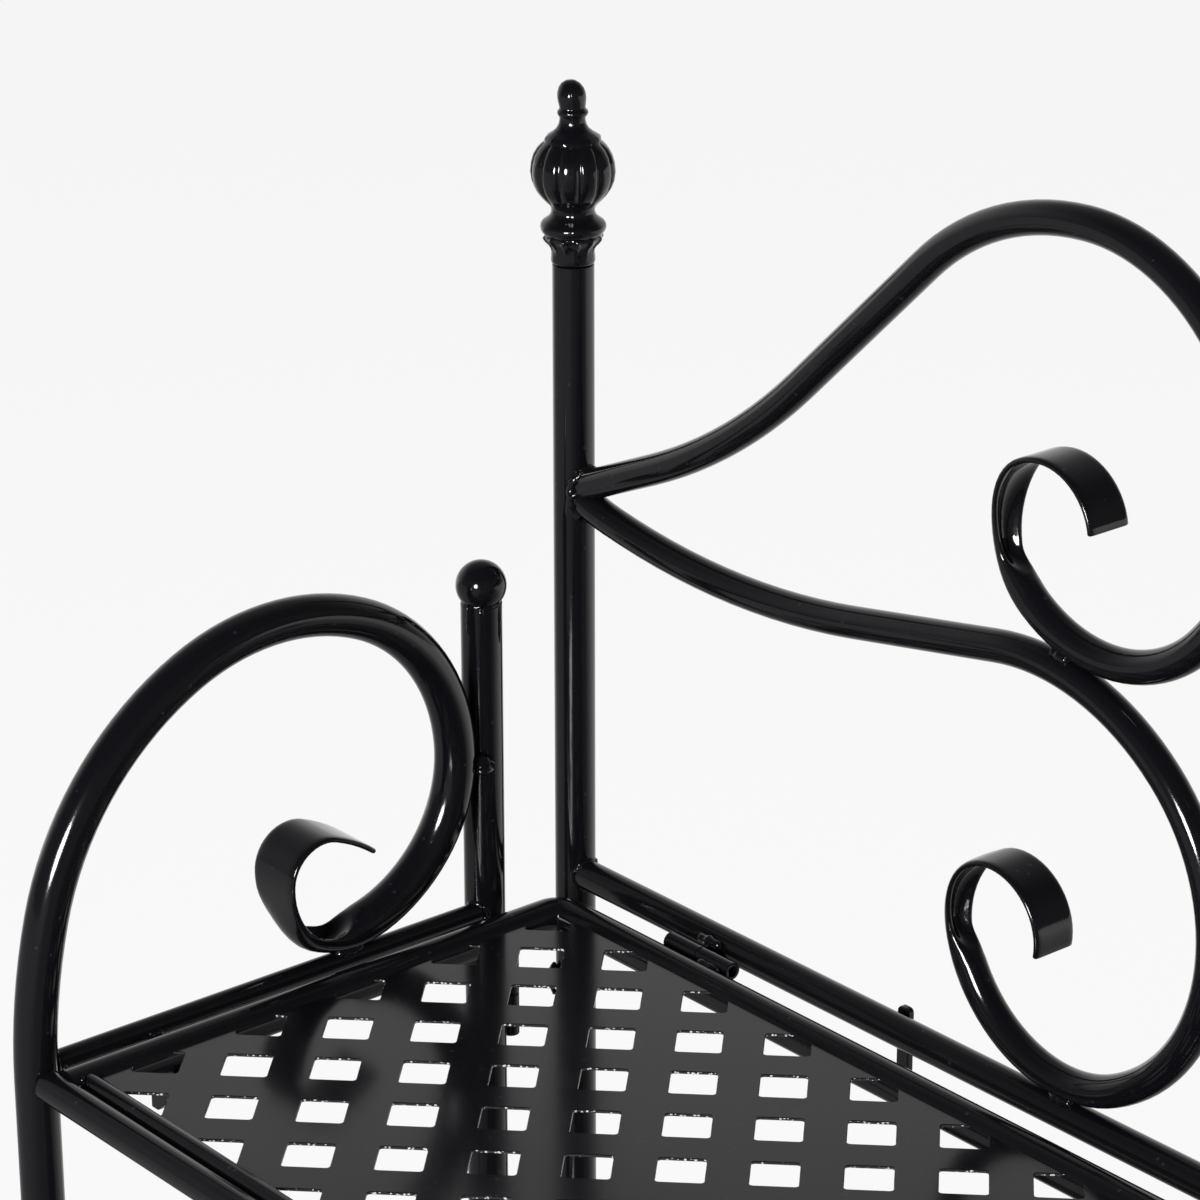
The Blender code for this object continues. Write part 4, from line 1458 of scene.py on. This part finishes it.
class STAND_OT_welds(bpy.types.Operator):
    """Lays the weld beads between the pieces"""

    bl_idname = "stand.welds"
    bl_label = "Welds"

    def execute(self, context):
        self.seed = 40
        self.back_frame()
        for tier in TIERS:
            self.shelf(tier)
        for side, sign in SIDES.items():
            self.side_panel(side, sign)
        return {"FINISHED"}

    def lay(self, bm, points, share, **form):
        self.seed += 1
        bead(bm, points, share * sizes().weld_size, self.seed, **form)

    def seam(self, bm, share, start, along, radius, post):
        """A bead round a member of this radius, where it meets an upright post."""
        self.lay(bm, saddle(start, along, radius, post, sizes().post_diameter / 2), share, closed=True)

    def dab(self, bm, kind, point, along):
        """A short bead that thins out at both ends."""
        length, share, _ = DABS[kind]
        self.lay(bm, short_line(point, along, length), share, taper=True)

    def apart(self, kind, radius):
        """Where the two beads of a pair lie on a member of this radius."""
        off = DABS[kind][2] * radius
        return -off, off

    def back_frame(self):
        bm = bmesh.new()
        post_radius, radius = sizes().post_diameter / 2, sizes().tube_diameter / 2
        arch, lower = back_paths()
        for side, sign in SIDES.items():
            post = middle(f"back_post_{side}")
            for tier in TIERS:
                rail = middle(f"back_rail_{tier}")
                inner = Vector((post.x - sign * 3 * post_radius, rail.y, rail.z))
                self.seam(bm, RAIL_SEAM, inner, (sign, 0, 0), radius, post)
            place = place_back(sign)
            self.scrolls(bm, place, arch, lower, post)
            rail = middle("back_rail_top")
            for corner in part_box(f"rail_hook_{side}"):
                self.dab(bm, "hook", (corner.x, rail.y + radius, rail.z - WELD_OFFSET), (0, 0, 1))
            for tier in TIERS:
                x = middle(f"shelf_hinge_fixed_{tier}_{side}").x
                rail = middle(f"back_rail_{tier}")
                for off in self.apart("shelf hinge", radius):
                    self.dab(bm, "shelf hinge", (x, rail.y - radius - WELD_OFFSET, rail.z - off), (1, 0, 0))
            for level in LEVELS:
                z = middle(f"panel_hinge_fixed_{level}_{side}").z
                for off in self.apart("panel hinge", post_radius):
                    point = (post.x + off, post.y - post_radius - WELD_OFFSET, z)
                    self.dab(bm, "panel hinge", point, (0, 0, 1))
        top = max(arch, key=lambda step: step[0])
        reach = place_back(-1)(*top[:2], 0)
        for off in self.apart("scroll middle", radius):
            self.dab(bm, "scroll middle", (0, reach.y + off, reach.z), (0, 0, 1))
        self.settle("welds_back", bm, "back_frame")

    def scrolls(self, bm, place, arch, lower, post):
        """Beads of one half of the back: at the post, between its two members, and on the rail."""
        radius = sizes().tube_diameter / 2
        for steps in (arch, lower):
            u, w, heading, _ = steps[0]
            inner = place(u + SEAM_LEAD * math.cos(heading), w + SEAM_LEAD * math.sin(heading), 0)
            self.seam(bm, SCROLL_SEAM, inner, place(u, w, 0) - inner, radius, post)
        first, second = nearest(arch[len(arch) // 3 :], lower)
        u, w, heading, _ = first
        touch = ((u + second[0]) / 2, (w + second[1]) / 2)
        along = place(u + math.cos(heading), w + math.sin(heading), 0) - place(u, w, 0)
        for across in self.apart("scroll", radius):
            self.dab(bm, "scroll", place(*touch, across) + SCROLL_WELD_SHIFT * along.normalized(), along)
        bottom = min(lower[len(lower) // 2 :], key=lambda step: step[1])
        for across in self.apart("scroll foot", radius):
            self.dab(bm, "scroll foot", place(bottom[0], bottom[1] - radius, across), (1, 0, 0))

    def shelf(self, tier):
        bm = bmesh.new()
        radius = FRAME_TUBE / 2
        (x, back, level), _, _ = shelf_lines(tier)
        rail = middle(f"front_rail_{tier}")
        axis = Vector((0, back, level))
        toward = (joint_place(f"shelf_{tier}") - axis).normalized()
        aside = toward.cross(Vector((1, 0, 0)))
        for side, sign in SIDES.items():
            for off in self.apart("frame end", radius):
                behind, above = rail.y + FRAME_WELD_BACK * radius, rail.z + FRAME_WELD_RISE * radius
                self.dab(bm, "frame end", (sign * x + off, behind, above), FRAME_WELD_LEAN)
            barrel = middle(f"shelf_hinge_moving_{tier}_{side}")
            for off in self.apart("shelf barrel", radius):
                point = axis + radius * toward + off * aside
                self.dab(bm, "shelf barrel", (barrel.x, point.y, point.z), (1, 0, 0))
        self.stitches(bm, tier)
        self.settle(f"welds_shelf_{tier}", bm, f"shelf_{tier}")

    def stitches(self, bm, tier):
        """Short beads under the sheet's edge, where it is whole between two cut holes."""
        (low, high), (first, step) = sheet_box(tier), hole_grid()
        for row in range(-HOLE_ROWS, HOLE_ROWS + 1, 2):
            y = first - row * step
            if low.y < y < high.y:
                for x in (-high.x, high.x):
                    self.dab(bm, "stitch", (x, y, low.z), (0, 1, 0))
        for column in range(-STITCH_COLUMNS, STITCH_COLUMNS + 1, 2):
            self.dab(bm, "stitch", (column * step, high.y, low.z), (1, 0, 0))

    def side_panel(self, side, sign):
        bm = bmesh.new()
        thin = sizes().side_rail_diameter / 2
        leg, post = middle(f"leg_foot_{side}"), middle(f"ball_post_foot_{side}")
        plate = middle("back_post_left").y - PLATE_SETBACK
        for tier in TIERS:
            low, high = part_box(f"side_rail_{tier}_{side}")
            level = high.z - thin
            start = Vector((leg.x, (low.y + high.y) / 2, level))
            self.seam(bm, SIDE_RAIL_SEAM, start, (0, 1, 0), thin, post)
            self.seam(bm, SIDE_RAIL_SEAM, start, (0, -1, 0), thin, leg)
            for off in self.apart("plate", thin):
                point = (leg.x - sign * thin, plate + off, level - PLATE_WELD_DROP * thin)
                self.dab(bm, "plate", point, (0, 0, 1))
        self.ball(bm, post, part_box(f"ball_post_{side}")[1].z)
        self.arm(bm, place_arm(sign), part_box(f"side_rail_top_{side}")[1].z)
        for level in LEVELS:
            low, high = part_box(f"panel_hinge_moving_{level}_{side}")
            y, z = high.y - (high.y - low.y) * PANEL_BARREL_DEPTH, (low.z + high.z) / 2
            for off in self.apart("panel barrel", sizes().post_diameter / 2):
                self.dab(bm, "panel barrel", (post.x + off, y, z), (0, 0, 1))
        self.settle(f"welds_side_{side}", bm, f"side_panel_{side}")

    def ball(self, bm, post, top):
        """The seam below a ball, and the runs of weld on the post."""
        radius = sizes().post_diameter / 2
        ring = ring_line((post.x, post.y, top + 0.0002), radius - BALL_SEAM_INSET, 40)
        self.lay(bm, ring, BALL_SEAM, closed=True)
        for turn, drop, share in BALL_RUNS:
            x, y, _ = post + radius * level_direction(turn)
            run = short_line((x, y, top - drop / 2), (0, 0, 1), drop + BALL_RUN_OVERLAP)
            self.lay(bm, run, share, taper=True)

    def arm(self, bm, place, rail_top):
        """Beads of a scrolled arm, on the ball post and on the side rail."""
        radius, thin = sizes().post_diameter / 2, sizes().side_rail_diameter / 2
        steps = arm_path()
        u, w, _, _ = max(steps, key=lambda step: step[0])
        for across in self.apart("arm", radius):
            self.dab(bm, "arm", place(u + radius + ARM_WELD_OFF, w - ARM_WELD_DROP, across), (0, 0, 1))
        bottom = min(steps[len(steps) // 2 :], key=lambda step: step[1])
        for across in self.apart("arm foot", thin):
            self.dab(bm, "arm foot", place(bottom[0], rail_top, across), (0, 1, 0))

    def settle(self, name, bm, body):
        piece = from_mesh(name, bm, 80)
        dress(piece, body, "tube", weld_coat())


class STAND_OT_stage(bpy.types.Operator):
    """Sets up the pale floor, the studio light and the camera"""

    bl_idname = "stand.stage"
    bl_label = "Stage"

    def execute(self, context):
        self.floor(context.scene.stand_stage)
        self.world(context.scene.stand_stage)
        self.lights(context.scene.stand_stage)
        self.camera(context.scene)
        context.scene.view_settings.view_transform = "Standard"
        return {"FINISHED"}

    def floor(self, stage):
        """A pale floor that takes the shadow, and mirrors bright behind the stand and dim before it."""
        floor = begin(bpy.ops.mesh.primitive_plane_add, size=FLOOR_WIDTH, location=(0, 0, 0))
        bpy.ops.mesh.subdivide(number_cuts=3)
        leave(floor, "floor")
        made = bpy.data.materials.new("pale floor")
        made.use_nodes = True
        tree = made.node_tree
        tree.nodes.clear()
        place = add_node(tree, "ShaderNodeNewGeometry").outputs["Position"]
        behind = self.ramp(tree, place, level_direction(FLOOR_TURN), FLOOR_REACH, FLOOR_MIRRORED)
        beside = self.ramp(tree, place, level_direction(BESIDE_TURN), BESIDE_REACH, BESIDE_MIRRORED)
        level = combined(tree, "ADD", behind, beside)
        matte = add_node(tree, "ShaderNodeBsdfDiffuse", {"Color": (*stage.floor_colour, 1)})
        white = add_node(tree, "ShaderNodeEmission")
        mixed = self.whitened(tree, stage, matte, white, level, FLOOR_WHITE_SHARE)
        add_node(tree, "ShaderNodeOutputMaterial", {"Surface": mixed})
        floor.data.materials.append(made)

    def world(self, stage):
        """White for the camera; mirrored, it is brightest low behind the stand."""
        world = bpy.context.scene.world or bpy.data.worlds.new("studio")
        bpy.context.scene.world = world
        world.use_nodes = True
        tree = world.node_tree
        tree.nodes.clear()
        toward = add_node(tree, "ShaderNodeTexCoord").outputs["Generated"]
        low = self.ramp(tree, toward, (0, 0, 1), SKY_REACH, SKY_MIRRORED)
        behind = self.ramp(tree, toward, level_direction(BACKDROP_TURN), BACKDROP_REACH, BACKDROP_MIRRORED)
        level = combined(tree, "MULTIPLY", low, behind)
        soft = add_node(tree, "ShaderNodeBackground", {"Color": (1, 1, 1, 1), "Strength": SOFT_LIGHT})
        white = add_node(tree, "ShaderNodeBackground")
        mixed = self.whitened(tree, stage, soft, white, level, 1.0)
        add_node(tree, "ShaderNodeOutputWorld", {"Surface": mixed})

    def ramp(self, tree, place, direction, reach, levels):
        """Eases from the first level to the second over this reach in the direction."""
        along = add_node(tree, "ShaderNodeVectorMath", {0: place, 1: direction}, operation="DOT_PRODUCT")
        names = ("From Min", "From Max", "To Min", "To Max")
        inputs = {"Value": along.outputs["Value"], **dict(zip(names, (*reach, *levels)))}
        return add_node(tree, "ShaderNodeMapRange", inputs, interpolation_type="SMOOTHSTEP").outputs["Result"]

    def whitened(self, tree, stage, plain, white, level, share):
        """The plain shader, white by this share for the camera, and white at this level in mirrored rays."""
        path = add_node(tree, "ShaderNodeLightPath").outputs
        camera = combined(tree, "MAXIMUM", path["Is Camera Ray"], path["Is Transmission Ray"])
        glossy = path["Is Glossy Ray"]
        strength = add_node(tree, "ShaderNodeMix", {"Factor": glossy, "A": 1.0, "B": level})
        white.inputs["Color"].default_value = (stage.white, stage.white, stage.white, 1)
        tree.links.new(strength.outputs["Result"], white.inputs["Strength"])
        shown = combined(tree, "MAXIMUM", combined(tree, "MULTIPLY", camera, share), glossy)
        inputs = {0: shown, 1: plain.outputs[0], 2: white.outputs[0]}
        return add_node(tree, "ShaderNodeMixShader", inputs).outputs[0]

    def lights(self, stage):
        aim = middle("ball_left")
        boxes = (("front box", FRONT_BOX, stage.front_light), ("top box", TOP_BOX, stage.top_light))
        for name, (turn, rise, distance, size), power in boxes:
            lamp = bpy.data.lights.new(name, "AREA")
            lamp.shape = "DISK"
            lamp.size = size
            lamp.energy = power
            made = bpy.data.objects.new(name, lamp)
            toward = math.cos(math.radians(rise)) * level_direction(CAMERA_HEADING - 90 + turn)
            toward.z = math.sin(math.radians(rise))
            made.location = aim + distance * toward
            made.rotation_euler = toward.to_track_quat("Z", "Y").to_euler()
            made.visible_camera = False
            made.visible_glossy = name == "front box"
            bpy.context.scene.collection.objects.link(made)

    def camera(self, scene):
        lens = bpy.data.cameras.new("camera")
        lens.lens = LENS
        lens.sensor_width = SENSOR
        made = bpy.data.objects.new("camera", lens)
        made.location = CAMERA_PLACE
        turn = Matrix.Rotation(math.radians(CAMERA_HEADING), 3, "Z")
        turn = turn @ Matrix.Rotation(math.radians(CAMERA_TILT), 3, "X")
        turn = turn @ Matrix.Rotation(math.radians(CAMERA_ROLL), 3, "Z")
        made.rotation_euler = turn.to_euler()
        scene.collection.objects.link(made)
        scene.camera = made


OPERATORS = (
    STAND_OT_posts,
    STAND_OT_finials,
    STAND_OT_balls,
    STAND_OT_feet,
    STAND_OT_back_rails,
    STAND_OT_scrolls,
    STAND_OT_legs,
    STAND_OT_side_rails,
    STAND_OT_shelves,
    STAND_OT_hinges,
    STAND_OT_hooks,
    STAND_OT_welds,
    STAND_OT_stage,
)


class STAND_PT_panel(bpy.types.Panel):
    """Lists the settings and the pieces of the stand"""

    bl_idname = "STAND_PT_panel"
    bl_label = "Plant Stand"
    bl_space_type = "VIEW_3D"
    bl_region_type = "UI"
    bl_category = "Plant Stand"

    def draw(self, context):
        layout = self.layout
        for group in (context.scene.stand_sizes, context.scene.stand_finish, context.scene.stand_stage):
            box = layout.box()
            for key in group.__annotations__:
                box.prop(group, key)
        for operator in OPERATORS:
            layout.operator(operator.bl_idname)


GROUPS = (StandSizes, StandFinish, StandStage)
CLASSES = (*GROUPS, *OPERATORS, STAND_PT_panel)


def register():
    for each in CLASSES:
        bpy.utils.register_class(each)
    bpy.types.Scene.stand_sizes = bpy.props.PointerProperty(type=StandSizes)
    bpy.types.Scene.stand_finish = bpy.props.PointerProperty(type=StandFinish)
    bpy.types.Scene.stand_stage = bpy.props.PointerProperty(type=StandStage)


def unregister():
    del bpy.types.Scene.stand_stage
    del bpy.types.Scene.stand_finish
    del bpy.types.Scene.stand_sizes
    for each in reversed(CLASSES):
        bpy.utils.unregister_class(each)


def main():
    register()
    bpy.ops.stand.posts()
    bpy.ops.stand.finials()
    bpy.ops.stand.balls()
    bpy.ops.stand.feet()
    bpy.ops.stand.back_rails()
    bpy.ops.stand.scrolls()
    bpy.ops.stand.legs()
    bpy.ops.stand.side_rails()
    bpy.ops.stand.shelves()
    bpy.ops.stand.hinges()
    bpy.ops.stand.hooks()
    bpy.ops.stand.welds()
    bpy.ops.stand.stage()


if __name__ == "__main__":
    main()
